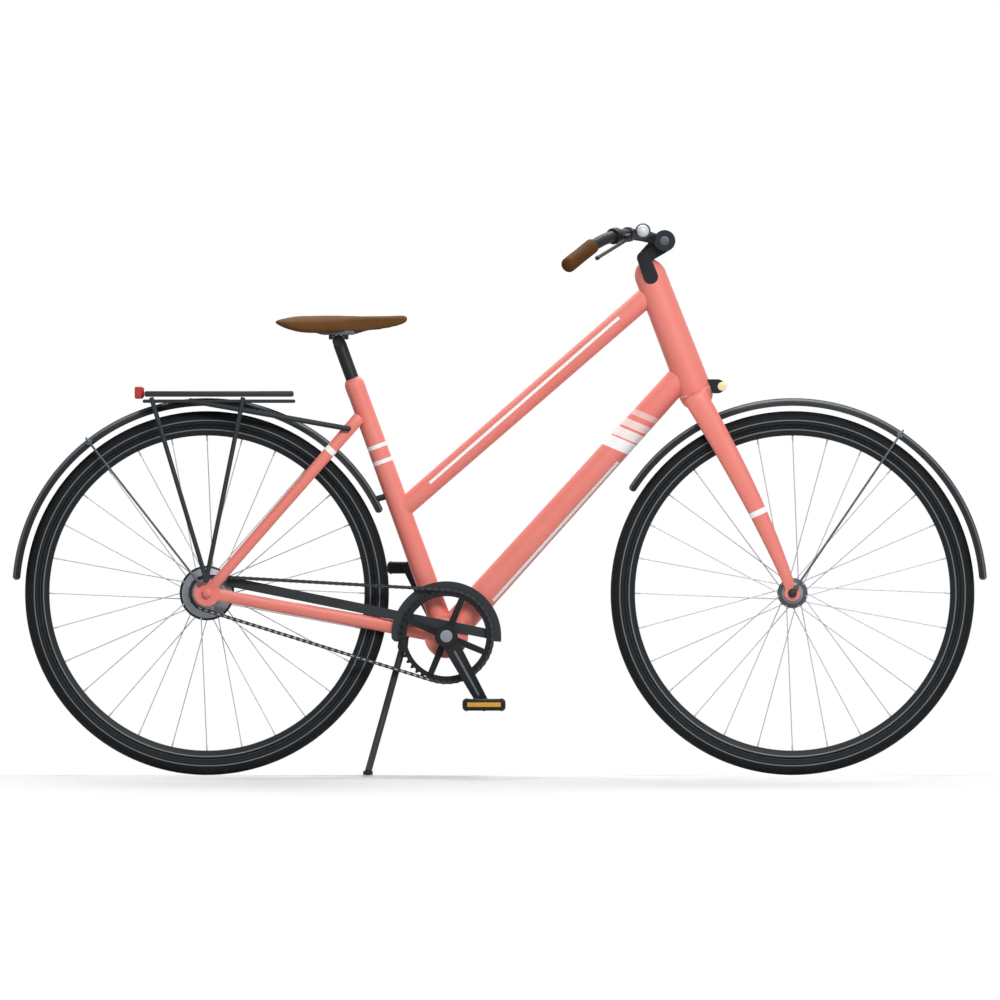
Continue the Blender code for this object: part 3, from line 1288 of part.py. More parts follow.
# Mudguards
def mudguard(name, axle, span):
    """A curved strip round the wheel: its crown at the mudguard radius, its edges lower."""
    half = [(MUDGUARD_RADIUS - MUDGUARD_DEPTH, MUDGUARD_WIDTH / 2), (MUDGUARD_RADIUS, MUDGUARD_CROWN_WIDTH / 2)]
    section = half + [(radius, -y) for radius, y in reversed(half)]
    ring = section + [(radius - MUDGUARD_WALL, y) for radius, y in reversed(section)]
    pieces = round((span[1] - span[0]) / MUDGUARD_STEP)
    rings = []
    for i in range(pieces + 1):
        angle = span[0] + (span[1] - span[0]) * i / pieces
        rings.append([polar(axle, radius, angle, y) for radius, y in ring])
    return loft(name, rings, "black_paint")


def wire_stay(name, axle, angle, plate_radius, plate_y):
    """A wire from one dropout, over the mudguard and down to the other dropout."""
    gap = WIRE_RADIUS + FIT
    edge = MUDGUARD_WIDTH / 2
    slope = math.atan2(edge - MUDGUARD_CROWN_WIDTH / 2, MUDGUARD_DEPTH)
    low = MUDGUARD_RADIUS - MUDGUARD_DEPTH
    half = [
        (plate_radius - WIRE_FOOT, plate_y + gap),
        (plate_radius + WIRE_RADIUS, plate_y + gap),
        (low - WIRE_SWEEP, edge + gap + WIRE_FLARE),
        (low + gap * math.sin(slope), edge + gap * math.cos(slope)),
        (MUDGUARD_RADIUS + gap, MUDGUARD_CROWN_WIDTH / 2 + gap * math.tan(math.pi / 4 - slope / 2)),
    ]
    points = [polar(axle, radius, angle, y) for radius, y in half]
    points += [polar(axle, radius, angle, -y) for radius, y in reversed(half)]
    return wire(name, points, WIRE_RADIUS, "grey_alloy")


def mudguards():
    rear = mudguard("rear_mudguard", REAR_AXLE, REAR_MUDGUARD_SPAN)
    foot = polar(REAR_AXLE, MUDGUARD_RADIUS - MUDGUARD_WALL, MUDGUARD_LUG_ANGLE)
    seat = on_seat_tube((foot.z - BOTTOM_BRACKET.z) / math.sin(SEAT_ANGLE))
    lug = bar("mudguard_lug", foot, seat, MUDGUARD_LUG_RADIUS, segments=12)
    seat_gap = bar(
        "lug_trim", BOTTOM_BRACKET, on_seat_tube(SEAT_TUBE_LENGTH), SEAT_TUBE_RADIUS_LOW + FIT, None,
        SEAT_TUBE_RADIUS_HIGH + FIT,
    )
    carve(joined(rear, lug), seat_gap)
    front = mudguard("front_mudguard", FRONT_AXLE, FRONT_MUDGUARD_SPAN)
    crown = on_steering(CROWN_BAR_HEIGHT)
    below = crown - FRONT_AXLE
    top = FRONT_AXLE + below.normalized() * (MUDGUARD_RADIUS - MUDGUARD_WALL)
    tab = bar("mudguard_tab", top, crown, MUDGUARD_TAB_RADIUS, segments=12)
    trim_ends = across(crown, 2 * CROWN_BAR_HALF)
    crown_trim = bar("tab_trim", *trim_ends, CROWN_BAR_RADIUS + FIT, segments=TUBE_SEGMENTS)
    carve(joined(front, tab), crown_trim)
    dropout_y = REAR_DROPOUT_Y + DROPOUT_THICKNESS
    wire_stay("rear_mudguard_stay", REAR_AXLE, REAR_WIRE_ANGLE, REAR_DROPOUT_RADIUS, dropout_y)
    tip_y = FRONT_DROPOUT_Y + FORK_TIP_THICKNESS
    wire_stay("front_mudguard_stay", FRONT_AXLE, FRONT_WIRE_ANGLE, FORK_TIP_RADIUS, tip_y)


# Rack
def rack():
    centre = Vector((DECK_REAR + DECK_LENGTH / 2, 0.0, DECK_TOP - DECK_THICKNESS / 2))
    deck = block("rack_deck", (DECK_LENGTH, DECK_WIDTH, DECK_THICKNESS), centre, "black_paint", DECK_BEVEL)
    slots = []
    for i in range(DECK_SLOT_COUNT):
        offset = (i - (DECK_SLOT_COUNT - 1) / 2) * DECK_SLOT_PITCH
        size = (DECK_SLOT_LENGTH, DECK_SLOT_WIDTH, DECK_THICKNESS * 2)
        slots.append(block(f"deck_slot_{i}", size, centre + ACROSS * offset))
    carve(deck, *slots)
    front_x = DECK_REAR + DECK_LENGTH
    underside = DECK_TOP - DECK_THICKNESS - FIT
    rail = [
        Vector((DECK_REAR, -RAIL_Y + RAIL_CORNER, RAIL_HEIGHT)),
        Vector((DECK_REAR + RAIL_CORNER_DEPTH, -RAIL_Y, RAIL_HEIGHT)),
        Vector((front_x - RAIL_CORNER_DEPTH, -RAIL_Y, RAIL_HEIGHT)),
        Vector((front_x, -RAIL_Y + RAIL_CORNER, RAIL_HEIGHT)),
    ]
    loop = rail + [mirrored(point) for point in reversed(rail)]
    frame = wire("rack_frame", loop, RAIL_RADIUS, "black_paint", closed=True)
    pieces = []
    lug_y = REAR_DROPOUT_Y + DROPOUT_THICKNESS + FIT + STRUT_RADIUS
    for side in (-1, 1):
        lug = polar(REAR_AXLE, STRUT_LUG_DISTANCE, STRUT_LUG_ANGLE, side * lug_y)
        for i, top_x in enumerate(STRUT_TOPS):
            top = Vector((DECK_REAR + top_x, side * RAIL_Y, underside - STRUT_TOP_SINK))
            pieces.append(wire(f"rack_strut_{side}_{i}", [lug, top], STRUT_RADIUS))
        pieces.append(bar("rack_lug", *across(lug, 2 * STRUT_RADIUS), STRUT_LUG_RADIUS, segments=12))
        rise = on_seat_tube(SEAT_STAY_HEIGHT) - REAR_AXLE
        seat = REAR_AXLE + rise * RACK_STAY_SEAT
        stay_y = RACK_STAY_SEAT_Y + SEAT_STAY_HALF_DEPTH + FIT + RACK_STAY_RADIUS
        start = Vector((DECK_REAR + RACK_STAY_START, side * RAIL_Y, RAIL_HEIGHT + RACK_STAY_LIFT))
        end = Vector((seat.x, side * stay_y, seat.z))
        pieces.append(wire("rack_stay", [start, end], RACK_STAY_RADIUS))
    joined(frame, *pieces)


def tail_light():
    middle = TAIL_LIGHT_TOP - TAIL_LIGHT_HEIGHT / 2
    housing_x = DECK_REAR - FIT - TAIL_HOUSING_DEPTH / 2
    lens_x = DECK_REAR - 2 * FIT - TAIL_HOUSING_DEPTH - TAIL_LENS_DEPTH / 2
    inset = 2 * TAIL_HOUSING_INSET
    size = (TAIL_HOUSING_DEPTH, TAIL_LIGHT_WIDTH - inset, TAIL_LIGHT_HEIGHT - inset)
    block("tail_light_housing", size, (housing_x, 0.0, middle), "black_plastic", TAIL_HOUSING_BEVEL)
    size = (TAIL_LENS_DEPTH, TAIL_LIGHT_WIDTH, TAIL_LIGHT_HEIGHT)
    block("tail_light_lens", size, (lens_x, 0.0, middle), "red_lens", TAIL_LENS_BEVEL)


# Saddle
def seatpost():
    low = on_seat_tube(SEAT_TUBE_LENGTH - SEATPOST_INSERTION)
    post = bar("seatpost", low, on_seat_tube(SEATPOST_HEAD - SEATPOST_NECK), SEATPOST_RADIUS, "black_paint")
    head = bar("seatpost_head", *across(POST_HEAD, 2 * SEATPOST_HEAD_HALF), SEATPOST_HEAD_RADIUS)
    joined(post, head)


def rail_points():
    """The rails' line: out of the tail, along two level runs under the cushion, and together at the nose."""
    rear, flat_front = SADDLE_RAIL_FLAT
    half = []
    for behind, outward, rise in (SADDLE_RAIL_REAR, SADDLE_RAIL_BEND):
        half.append(Vector((POST_HEAD.x - behind, -SADDLE_RAIL_Y - outward, SADDLE_RAIL_Z + rise)))
    half.append(Vector((POST_HEAD.x - rear, -SADDLE_RAIL_Y, SADDLE_RAIL_Z)))
    half.append(Vector((POST_HEAD.x + flat_front, -SADDLE_RAIL_Y, SADDLE_RAIL_Z)))
    for ahead, y, rise in SADDLE_RAIL_NOSE:
        half.append(Vector((POST_HEAD.x + ahead, -y, SADDLE_RAIL_Z + rise)))
    return half + [mirrored(point) for point in reversed(half)]


def saddle_rails():
    wire("saddle_rails", rail_points(), SADDLE_RAIL_RADIUS, "grey_alloy")


def saddle_clamp():
    low = POST_HEAD.z + SADDLE_CLAMP_LIFT
    high = SADDLE_RAIL_Z + SADDLE_RAIL_RADIUS + SADDLE_CLAMP_COVER
    size = (2 * SADDLE_CLAMP_HALF_LENGTH, 2 * SADDLE_CLAMP_HALF_WIDTH, high - low)
    centre = (POST_HEAD.x, 0.0, (low + high) / 2)
    clamp = block("saddle_clamp", size, centre, "grey_alloy", SADDLE_CLAMP_BEVEL)
    cradle_ends = across(POST_HEAD, 4 * SADDLE_CLAMP_HALF_WIDTH)
    head_cutter = bar("clamp_cradle", *cradle_ends, SEATPOST_HEAD_RADIUS + FIT)
    rail_cutter = wire("clamp_groove", rail_points(), SADDLE_RAIL_RADIUS + FIT)
    carve(clamp, head_cutter, rail_cutter)


def saddle_section(share):
    """Half width, top, lip and underside of the saddle at a share of its length from the rear."""
    tail = max(0.0, (0.12 - share) / 0.12)
    nose = max(0.0, (share - 0.9) / 0.1)
    half = SADDLE_NOSE_HALF_WIDTH
    half += (SADDLE_HALF_WIDTH - SADDLE_NOSE_HALF_WIDTH) / (1 + math.exp((share - 0.42) * 11))
    half *= math.sqrt(1 - 0.62 * tail**2) * math.sqrt(1 - 0.72 * nose**2)
    top = SADDLE_TOP - SADDLE_DIP * math.exp(-(((share - 0.5) / 0.24) ** 2))
    top -= SADDLE_TAIL_DROP * max(0.0, (0.10 - share) / 0.10) ** 2
    top -= SADDLE_NOSE_DROP * max(0.0, (share - 0.93) / 0.07) ** 2
    lip = SADDLE_BOTTOM + SADDLE_NOSE_LIP_RISE * max(0.0, (share - 0.45) / 0.55) ** 1.5
    lip += SADDLE_TAIL_LIP_RISE * max(0.0, (0.18 - share) / 0.18) ** 1.3
    shell = SADDLE_SHELL if 0.04 < share < 0.97 else (top - lip) * 0.8
    return half, top, lip, max(top - shell, lip + SADDLE_LIP)


def saddle():
    """Cushion from a coarse cage: a crowned top, drawn-in sides, a lip below and a hollow for the rails."""
    rings = []
    for share in SADDLE_SHARES:
        half, top, lip, roof = saddle_section(share)
        x = SADDLE_REAR + SADDLE_LENGTH * share
        depth = top - lip
        groove = SADDLE_GROOVE if 0.1 < share < 0.8 else 0.0
        outer = [
            (0.0, top - groove),
            (half * 0.46, top + SADDLE_CROWN),
            (half * 0.90, top - depth * 0.18),
            (half, top - depth * 0.50),
            (half * 0.92, lip),
            (half * 0.80, lip + SADDLE_CROWN),
            (half * 0.66, roof),
        ]
        ring = [*outer, (0.0, roof), *((-y, z) for y, z in reversed(outer[1:]))]
        rings.append([Vector((x, y, z)) for y, z in ring])
    obj = loft("saddle", rings, "brown_leather")
    soften = obj.modifiers.new("soften", "SUBSURF")
    soften.levels = 1
    soften.render_levels = 1


# Lights, stand
def headlight():
    """Capsule-shaped lamp on the fork crown, with a round lens that shows on both sides."""
    lens_centre = on_steering(CROWN_TOP - LAMP_DROP, LAMP_REACH)
    half = LAMP_HEIGHT / 2
    low, top = lens_centre.z - half, lens_centre.z + half

    def rear_x(z):
        gap = CROWN_RADIUS + RUN
        return STEER_FOOT.x + (gap - (z - STEER_FOOT.z) * STEER_FORWARD.z) / STEER_FORWARD.x

    nose_centre = (lens_centre.x + LAMP_NOSE - half, lens_centre.z)
    outline = [(rear_x(low), low), *arc(half, -math.pi / 2, math.pi / 2, 10, nose_centre), (rear_x(top), top)]
    width = 2 * LAMP_HALF_WIDTH
    housing = plate("headlight_housing", [outline], width, Vector(), "black_plastic")
    seat = bar("lens_seat", *across(lens_centre, 2 * width), LAMP_LENS_RADIUS + FIT, segments=TUBE_SEGMENTS)
    carve(housing, seat)
    lens_ends = across(lens_centre, width + LAMP_LENS_PROUD)
    bar("headlight_lens", *lens_ends, LAMP_LENS_RADIUS, "cream_lens", segments=TUBE_SEGMENTS)


def stand():
    """Double-leg stand: one bent tube through the bracket under the chain stays, with a pad on each foot."""
    pivot = Vector((BOTTOM_BRACKET.x - STAND_PIVOT_BEHIND, 0.0, BOTTOM_BRACKET.z - STAND_PIVOT_BELOW))
    foot = Vector((pivot.x - STAND_FOOT_BEHIND, 0.0, STAND_PAD_SEAT))
    down = (foot - pivot).normalized()
    knee = pivot + down * STAND_KNEE
    half = [
        foot + ACROSS * STAND_FOOT_Y,
        knee + ACROSS * (STAND_LEG_Y + STAND_KNEE_FLARE) + down * STAND_BEND,
        knee + ACROSS * STAND_LEG_Y - down * STAND_BEND,
        pivot + ACROSS * STAND_LEG_Y + down * STAND_BEND * 0.8,
        pivot + ACROSS * (STAND_LEG_Y - STAND_ELBOW) + down * STAND_ELBOW,
        pivot + ACROSS * (STAND_LEG_Y - STAND_BEND * 0.8),
    ]
    path = half + [mirrored(point) for point in reversed(half)]
    legs = wire("stand_legs", path, STAND_TUBE_RADIUS, "black_paint")
    pads = []
    for side in (-1, 1):
        spot = Vector((foot.x, side * STAND_FOOT_Y, 0.0))
        pads.append(bar("stand_pad", spot, spot + UP * STAND_PAD_HEIGHT, STAND_PAD_RADIUS))
    joined(legs, *pads)
    block_top = BOTTOM_BRACKET.z + STAND_BLOCK_RISE
    height = block_top - pivot.z + STAND_TUBE_RADIUS + STAND_BLOCK_SKIRT
    centre = (pivot.x, 0.0, block_top - height / 2)
    size = (STAND_BLOCK_LENGTH, 2 * STAND_BLOCK_HALF_WIDTH, height)
    bracket = block("stand_bracket", size, centre, "black_paint", STAND_BLOCK_BEVEL)
    bore = bar("stand_bore", *across(pivot, 4 * STAND_BLOCK_HALF_WIDTH), STAND_TUBE_RADIUS + FIT)
    carve(bracket, bore)


def main():
    clear_scene()
    new_collection("commuter_bike")
    new_collection("helpers")
    shell_cutter, seat_cutter = main_tubes()
    seat_clamp()
    stays(shell_cutter, seat_cutter)
    bottom_bracket()
    headset()
    fork()
    head_cover()
    stem()
    handlebar()
    grips()
    brake_levers()
    bell_striker(bell())
    headlight()
    wheels()
    axle_shaft(
        "front_axle", FRONT_AXLE, FRONT_AXLE_RADIUS, FRONT_NUT_RADIUS, FRONT_DROPOUT_Y, FORK_TIP_THICKNESS,
        FRONT_HUB_HALF + RUN,
    )
    axle_shaft(
        "rear_axle", REAR_AXLE, REAR_AXLE_RADIUS, REAR_NUT_RADIUS, REAR_DROPOUT_Y, DROPOUT_THICKNESS,
        CHAIN_LINE + TOOTH_THICKNESS * 1.5 + RUN,
    )
    chain()
    chainring()
    sprocket()
    cranks()
    chain_guard()
    mudguards()
    rack()
    tail_light()
    seatpost()
    saddle_rails()
    saddle_clamp()
    saddle()
    stand()
    bpy.context.view_layer.update()


main()
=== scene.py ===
import json
import math

import bmesh
import bpy
from mathutils import Matrix, Vector
from mathutils.bvhtree import BVHTree


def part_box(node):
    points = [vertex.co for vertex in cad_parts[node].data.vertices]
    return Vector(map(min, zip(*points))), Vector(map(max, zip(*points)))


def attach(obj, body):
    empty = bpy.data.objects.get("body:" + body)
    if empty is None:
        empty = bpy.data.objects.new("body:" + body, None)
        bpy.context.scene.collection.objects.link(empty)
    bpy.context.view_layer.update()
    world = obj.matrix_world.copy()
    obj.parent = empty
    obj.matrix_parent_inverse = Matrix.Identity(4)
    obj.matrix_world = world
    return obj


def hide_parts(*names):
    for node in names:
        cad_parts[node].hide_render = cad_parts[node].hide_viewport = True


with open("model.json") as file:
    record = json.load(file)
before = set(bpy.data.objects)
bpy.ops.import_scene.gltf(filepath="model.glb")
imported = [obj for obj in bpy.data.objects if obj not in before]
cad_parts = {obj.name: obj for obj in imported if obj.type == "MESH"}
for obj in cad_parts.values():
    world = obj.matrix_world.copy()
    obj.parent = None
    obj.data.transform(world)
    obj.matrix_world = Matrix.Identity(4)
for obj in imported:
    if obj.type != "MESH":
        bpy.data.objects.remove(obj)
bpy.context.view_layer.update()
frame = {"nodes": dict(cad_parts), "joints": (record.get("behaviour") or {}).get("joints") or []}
joints = {joint["name"]: joint for joint in frame["joints"]}

# The bike's main lines, in metres: x forward, y to the left, z up, the wheels on z 0
AHEAD = Vector((1, 0, 0))
ACROSS = Vector((0, 1, 0))
UP = Vector((0, 0, 1))
REAR_AXLE = Vector(joints["rear_wheel_spin"]["pos_m"])
FRONT_AXLE = Vector(joints["front_wheel_spin"]["pos_m"])
BOTTOM_BRACKET = Vector(joints["crank_spin"]["pos_m"])
TO_BRACKET = BOTTOM_BRACKET - REAR_AXLE
SEAT_DIRECTION = Vector(joints["seatpost_slide"]["axis"])
STEER_FOOT = Vector(joints["steering"]["pos_m"])
STEER_UP = Vector(joints["steering"]["axis"])
STEER_FORWARD = Vector((STEER_UP.z, 0, -STEER_UP.x))
POST_HEAD = Vector(joints["saddle_tilt"]["pos_m"])
STAND_PIVOT = Vector(joints["stand_fold"]["pos_m"])
TO_PEDAL = Vector(joints["pedal_right_spin"]["pos_m"]) - BOTTOM_BRACKET
DECK_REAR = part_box("rack_deck")[0].x
REAR_DISC_OUTER = 0.0738
REAR_DISC_THICK = 0.006
REAR_DISC_MIDDLE = REAR_DISC_OUTER - REAR_DISC_THICK / 2
FRONT_TIP_OUTER = 0.0553
FRONT_TIP_THICK = 0.005
FRONT_TIP_MIDDLE = FRONT_TIP_OUTER - FRONT_TIP_THICK / 2

# The chain's pitch, and the rings on which its pins lie
CHAIN_PITCH = 0.0127
CHAIN_LINE = 0.047
CHAIN_LINKS = 104
RING_TEETH = 44
SPROCKET_TEETH = 16
RING_RADIUS = CHAIN_PITCH / 2 / math.sin(math.pi / RING_TEETH)
SPROCKET_RADIUS = CHAIN_PITCH / 2 / math.sin(math.pi / SPROCKET_TEETH)

WHOLE = 2 * math.pi
QUARTER = math.pi / 2
WELD = 0.000002
SIDE_VIEW = Matrix.Rotation(QUARTER, 4, "X")


def on_seat_tube(distance):
    return BOTTOM_BRACKET + SEAT_DIRECTION * distance


def on_steering(height, forward=0.0):
    return STEER_FOOT + STEER_UP * height + STEER_FORWARD * forward


def polar(centre, radius, angle, side=0.0):
    return centre + Vector((radius * math.cos(angle), side, radius * math.sin(angle)))


def mirrored(point):
    return Vector((point[0], -point[1], point[2]))


def flat(point):
    return (point.x, point.z)


BAR_CLAMP = on_steering(0.7187, 0.0494)

# Materials. A Mix node of colours has these sockets: its share, the colours under and over, and the blend
SHARE, UNDER, OVER, BLEND = 0, 6, 7, 2


def tint(code):
    """Linear colour of an sRGB hex value."""
    parts = [int(code[i : i + 2], 16) / 255 for i in (0, 2, 4)]
    return (*(part / 12.92 if part <= 0.04045 else ((part + 0.055) / 1.055) ** 2.4 for part in parts), 1)


def per_metre(millimetres):
    """The scale of a pattern from the real size of its grains, lumps or cells."""
    return 1000 / millimetres


def node(tree, kind, inputs=(), **settings):
    """Adds a node with its settings. Each input is given a value, or the output that it reads."""
    made = tree.nodes.new("ShaderNode" + kind)
    for name, value in settings.items():
        setattr(made, name, value)
    for name, value in dict(inputs).items():
        if isinstance(value, bpy.types.NodeSocket):
            tree.links.new(value, made.inputs[name])
        else:
            made.inputs[name].default_value = value
    return made


def new_look(name):
    """An empty material, its node tree, and the piece's own coordinates in metres."""
    look = bpy.data.materials.new(name)
    look.use_nodes = True
    tree = look.node_tree
    tree.nodes.clear()
    return look, tree, node(tree, "TexCoord").outputs["Object"]


def finished(look, tree, colour, skin, values):
    """Ends a material with its shader, which reads the colour and the skin that were built up."""
    shader = node(tree, "BsdfPrincipled", {"Base Color": colour, **values})
    if skin:
        tree.links.new(skin, shader.inputs["Normal"])
    node(tree, "OutputMaterial", {"Surface": shader.outputs["BSDF"]})
    return look


def grained(tree, place, size, depth, detail):
    """The skin of a grainy surface, from the width and depth of its grains in millimetres."""
    grain = node(tree, "TexNoise", {"Vector": place, "Scale": per_metre(size), "Detail": detail})
    values = {"Height": grain.outputs["Fac"], "Distance": depth / 1000, "Strength": 1.0}
    return node(tree, "Bump", values).outputs["Normal"]


def mottled(tree, place, under, over, size, low, high, share=1.0, detail=3.0):
    """Lays soft clouds of another colour over a colour. They are about size millimetres across, and come up
    to their share of it as the pattern goes from low to high."""
    clouds = node(tree, "TexNoise", {"Vector": place, "Scale": per_metre(size), "Detail": detail})
    values = {"Value": clouds.outputs["Fac"], "From Min": low, "From Max": high, "To Max": share}
    mask = node(tree, "MapRange", values)
    paints = {SHARE: mask.outputs["Result"], UNDER: under, OVER: tint(over)}
    return node(tree, "Mix", paints, data_type="RGBA").outputs[BLEND]


def crazed(tree, place, under, over, size, width, share):
    """Lays another colour along the borders between cells that are size millimetres across. The width is
    a share of that size."""
    cells = {"Vector": place, "Scale": per_metre(size)}
    borders = node(tree, "TexVoronoi", cells, feature="DISTANCE_TO_EDGE")
    values = {"Value": borders.outputs["Distance"], "From Min": width, "From Max": 0.0, "To Max": share}
    mask = node(tree, "MapRange", values)
    paints = {SHARE: mask.outputs["Result"], UNDER: under, OVER: tint(over)}
    return node(tree, "Mix", paints, data_type="RGBA").outputs[BLEND]


def pebbled(tree, place, size, depth):
    """The skin of a surface made of small round cells, from their width and depth in millimetres."""
    cells = node(tree, "TexVoronoi", {"Vector": place, "Scale": per_metre(size)}, feature="F1")
    values = {"Height": cells.outputs["Distance"], "Distance": depth / 1000, "Strength": 1.0}
    return node(tree, "Bump", values).outputs["Normal"]


def from_axle(tree, place, axle):
    """How far each point lies from an axle, seen from the side."""
    offset = node(tree, "Mapping", {"Vector": place, "Location": (-axle.x, 0, -axle.z), "Scale": (1, 0, 1)})
    return node(tree, "VectorMath", {0: offset.outputs["Vector"]}, operation="LENGTH").outputs["Value"]


def ringed(tree, far, under, over, radius, half):
    """Lays a line over a colour, at a radius round the axle that far is measured from."""
    line = node(tree, "Math", {0: far, 1: radius, 2: half}, operation="COMPARE")
    paints = {SHARE: line.outputs[0], UNDER: under, OVER: tint(over)}
    return node(tree, "Mix", paints, data_type="RGBA").outputs[BLEND]


def between(tree, place, direction, middle, half):
    """1 between two planes across a direction, and 0 elsewhere."""
    level = node(tree, "VectorMath", {0: place, 1: direction}, operation="DOT_PRODUCT")
    inside = node(tree, "Math", {0: level.outputs["Value"], 1: middle, 2: half}, operation="COMPARE")
    return inside.outputs[0]


def enamel(name, bands=(), stripe=None):
    """Stove enamel on steel tube: a deep even colour under clear gloss, with the faint ripple of sprayed
    paint. Bands are white paint between planes across the tube, some of them thinned so that the coral
    shows through. The stripe is a masked pinstripe."""
    look, tree, place = new_look(name)
    # Sprayed paint varies softly over a hand's breadth
    paint = mottled(tree, place, tint("EE8276"), "F08B80", 160, 0.35, 0.7)
    masks = []
    for direction, middle, half, share in bands:
        inside = between(tree, place, direction, middle, half)
        masks.append(node(tree, "Math", {0: inside, 1: share}, operation="MULTIPLY"))
    if stripe:
        direction, start, end, normal, offset, half = stripe
        length = between(tree, place, direction, (start + end) / 2, (end - start) / 2)
        width = between(tree, place, normal, offset, half)
        masks.append(node(tree, "Math", {0: length, 1: width}, operation="MULTIPLY"))
    for mask in masks:
        paints = {SHARE: mask.outputs[0], UNDER: paint, OVER: tint("FFFFFF")}
        paint = node(tree, "Mix", paints, data_type="RGBA").outputs[BLEND]
    # The gloss wanders a little over 6 cm, as on paint that has been rubbed down and polished by hand
    rub = node(tree, "TexNoise", {"Vector": place, "Scale": per_metre(60), "Detail": 1.0})
    gloss = node(tree, "MapRange", {"Value": rub.outputs["Fac"], "To Min": 0.4, "To Max": 0.5})
    return finished(look, tree, paint, None, {
        "Roughness": gloss.outputs["Result"], "Specular IOR Level": 0.28, "Coat Weight": 0.2,
        "Coat Roughness": 0.35,
    })


def stripe_between(start, end, half):
    """A pinstripe's planes from its two ends in the side plane."""
    start, end = Vector((start[0], 0, start[1])), Vector((end[0], 0, end[1]))
    direction = (end - start).normalized()
    normal = Vector((-direction.z, 0, direction.x))
    return direction, start.dot(direction), end.dot(direction), normal, start.dot(normal), half


def powder_coat(name, colour, axle=None):
    """Powder-coated steel or alloy: satin, with the fine pebbled skin of melted powder. Round an axle, it has
    a thin pale line painted round the side: a painted highlight where the mudguard's roll would catch the
    light."""
    look, tree, place = new_look(name)
    # The skin's pebbles are about 1 mm wide, drawn at 3 mm so that they show
    skin = grained(tree, place, 3, 0.04, 1.0)
    # A faint bloom, as wide as a hand, where the powder lay thicker
    paint = mottled(tree, place, tint(colour), "4A5056", 120, 0.4, 0.75, 0.12)
    if axle:
        # A thin pale ring round the axle, on the mudguard's rolled shoulder: a painted highlight
        paint = ringed(tree, from_axle(tree, place, axle), paint, "666C71", 0.3703, 0.0012)
    return finished(look, tree, paint, skin, {"Roughness": 0.5, "Specular IOR Level": 0.22})


def tyre_rubber(name, axle):
    """Vulcanised rubber: near black and dull, fine-grained from the mould, with one grey reflective band and
    a thin paler line painted flat round the sidewall, where nothing is raised."""
    look, tree, place = new_look(name)
    # The mould's grain is about 0.5 mm wide, drawn at 2.4 mm so that it shows
    skin = grained(tree, place, 2.4, 0.08, 2.0)
    # Wear and dust vary over about 3 cm
    paint = mottled(tree, place, tint("17191B"), "222426", 30, 0.45, 0.8, 0.6)
    far = from_axle(tree, place, axle)
    # A thin paler line painted flat round the sidewall
    paint = ringed(tree, far, paint, "34383B", 0.326, 0.0005)
    paint = ringed(tree, far, paint, "74797D", 0.3313, 0.0011)
    return finished(look, tree, paint, skin, {"Roughness": 0.72, "Specular IOR Level": 0.15})


def rim_alloy(name, axle):
    """Anodised rim: slate with faint turning marks round it, and the bright edge the anodising leaves."""
    look, tree, place = new_look(name)
    far = from_axle(tree, place, axle)
    rings = node(tree, "CombineXYZ", {0: far}).outputs["Vector"]
    # Turning marks are about 0.3 mm apart, drawn at 1.2 mm so that they show
    skin = grained(tree, rings, 1.2, 0.06, 2.0)
    paint = mottled(tree, rings, tint("1B1F22"), "41484D", 1.2, 0.5, 0.9, 0.6, 2.0)
    paint = ringed(tree, far, paint, "747A7F", 0.3134, 0.00105)
    return finished(look, tree, paint, skin, {"Roughness": 0.48, "Metallic": 0.1, "Specular IOR Level": 0.2})


def blasted_alloy(name, colour, rough=0.42, metallic=0.35, rim=None):
    """Bead-blasted aluminium: pale grey and matt with a grain like fine sand. The rim is a darker edge, as
    its axle, radius, half width and colour."""
    look, tree, place = new_look(name)
    # The beads leave dimples of about 0.2 mm, drawn at 1.8 mm so that they show
    skin = grained(tree, place, 1.8, 0.04, 3.0)
    # Handling leaves paler spots about 2 cm wide
    paint = mottled(tree, place, tint(colour), "9BA1A8", 20, 0.4, 0.8, 0.12)
    if rim:
        axle, radius, half, edge = rim
        paint = ringed(tree, from_axle(tree, place, axle), paint, edge, radius, half)
    values = {"Roughness": rough, "Metallic": metallic, "Specular IOR Level": 0.3}
    return finished(look, tree, paint, skin, values)


def drawn_steel(name, colour, rough=0.3, metallic=0.85, bright="DDE0E2"):
    """Drawn or stamped steel with a light satin polish, its tone shifting a little from piece to piece."""
    look, tree, place = new_look(name)
    # The polish is about 0.1 mm fine, drawn at 1.1 mm so that it shows
    skin = grained(tree, place, 1.1, 0.03, 3.0)
    # Bright spots about half a link long, where pieces rub
    paint = mottled(tree, place, tint(colour), bright, 6, 0.4, 0.7, 0.2)
    return finished(look, tree, paint, skin, {"Roughness": rough, "Metallic": metallic})


def moulded_plastic(name, colour, rough=0.5):
    """Moulded nylon: near black, with the even spark-eroded grain of the mould."""
    look, tree, place = new_look(name)
    # Spark erosion leaves pits of about 0.3 mm, drawn at 1.8 mm so that they show
    skin = pebbled(tree, place, 1.8, 0.06)
    # Flow marks about 1 cm wide
    paint = mottled(tree, place, tint(colour), "33383D", 10, 0.5, 0.8, 0.2)
    return finished(look, tree, paint, skin, {"Roughness": rough, "Specular IOR Level": 0.2})


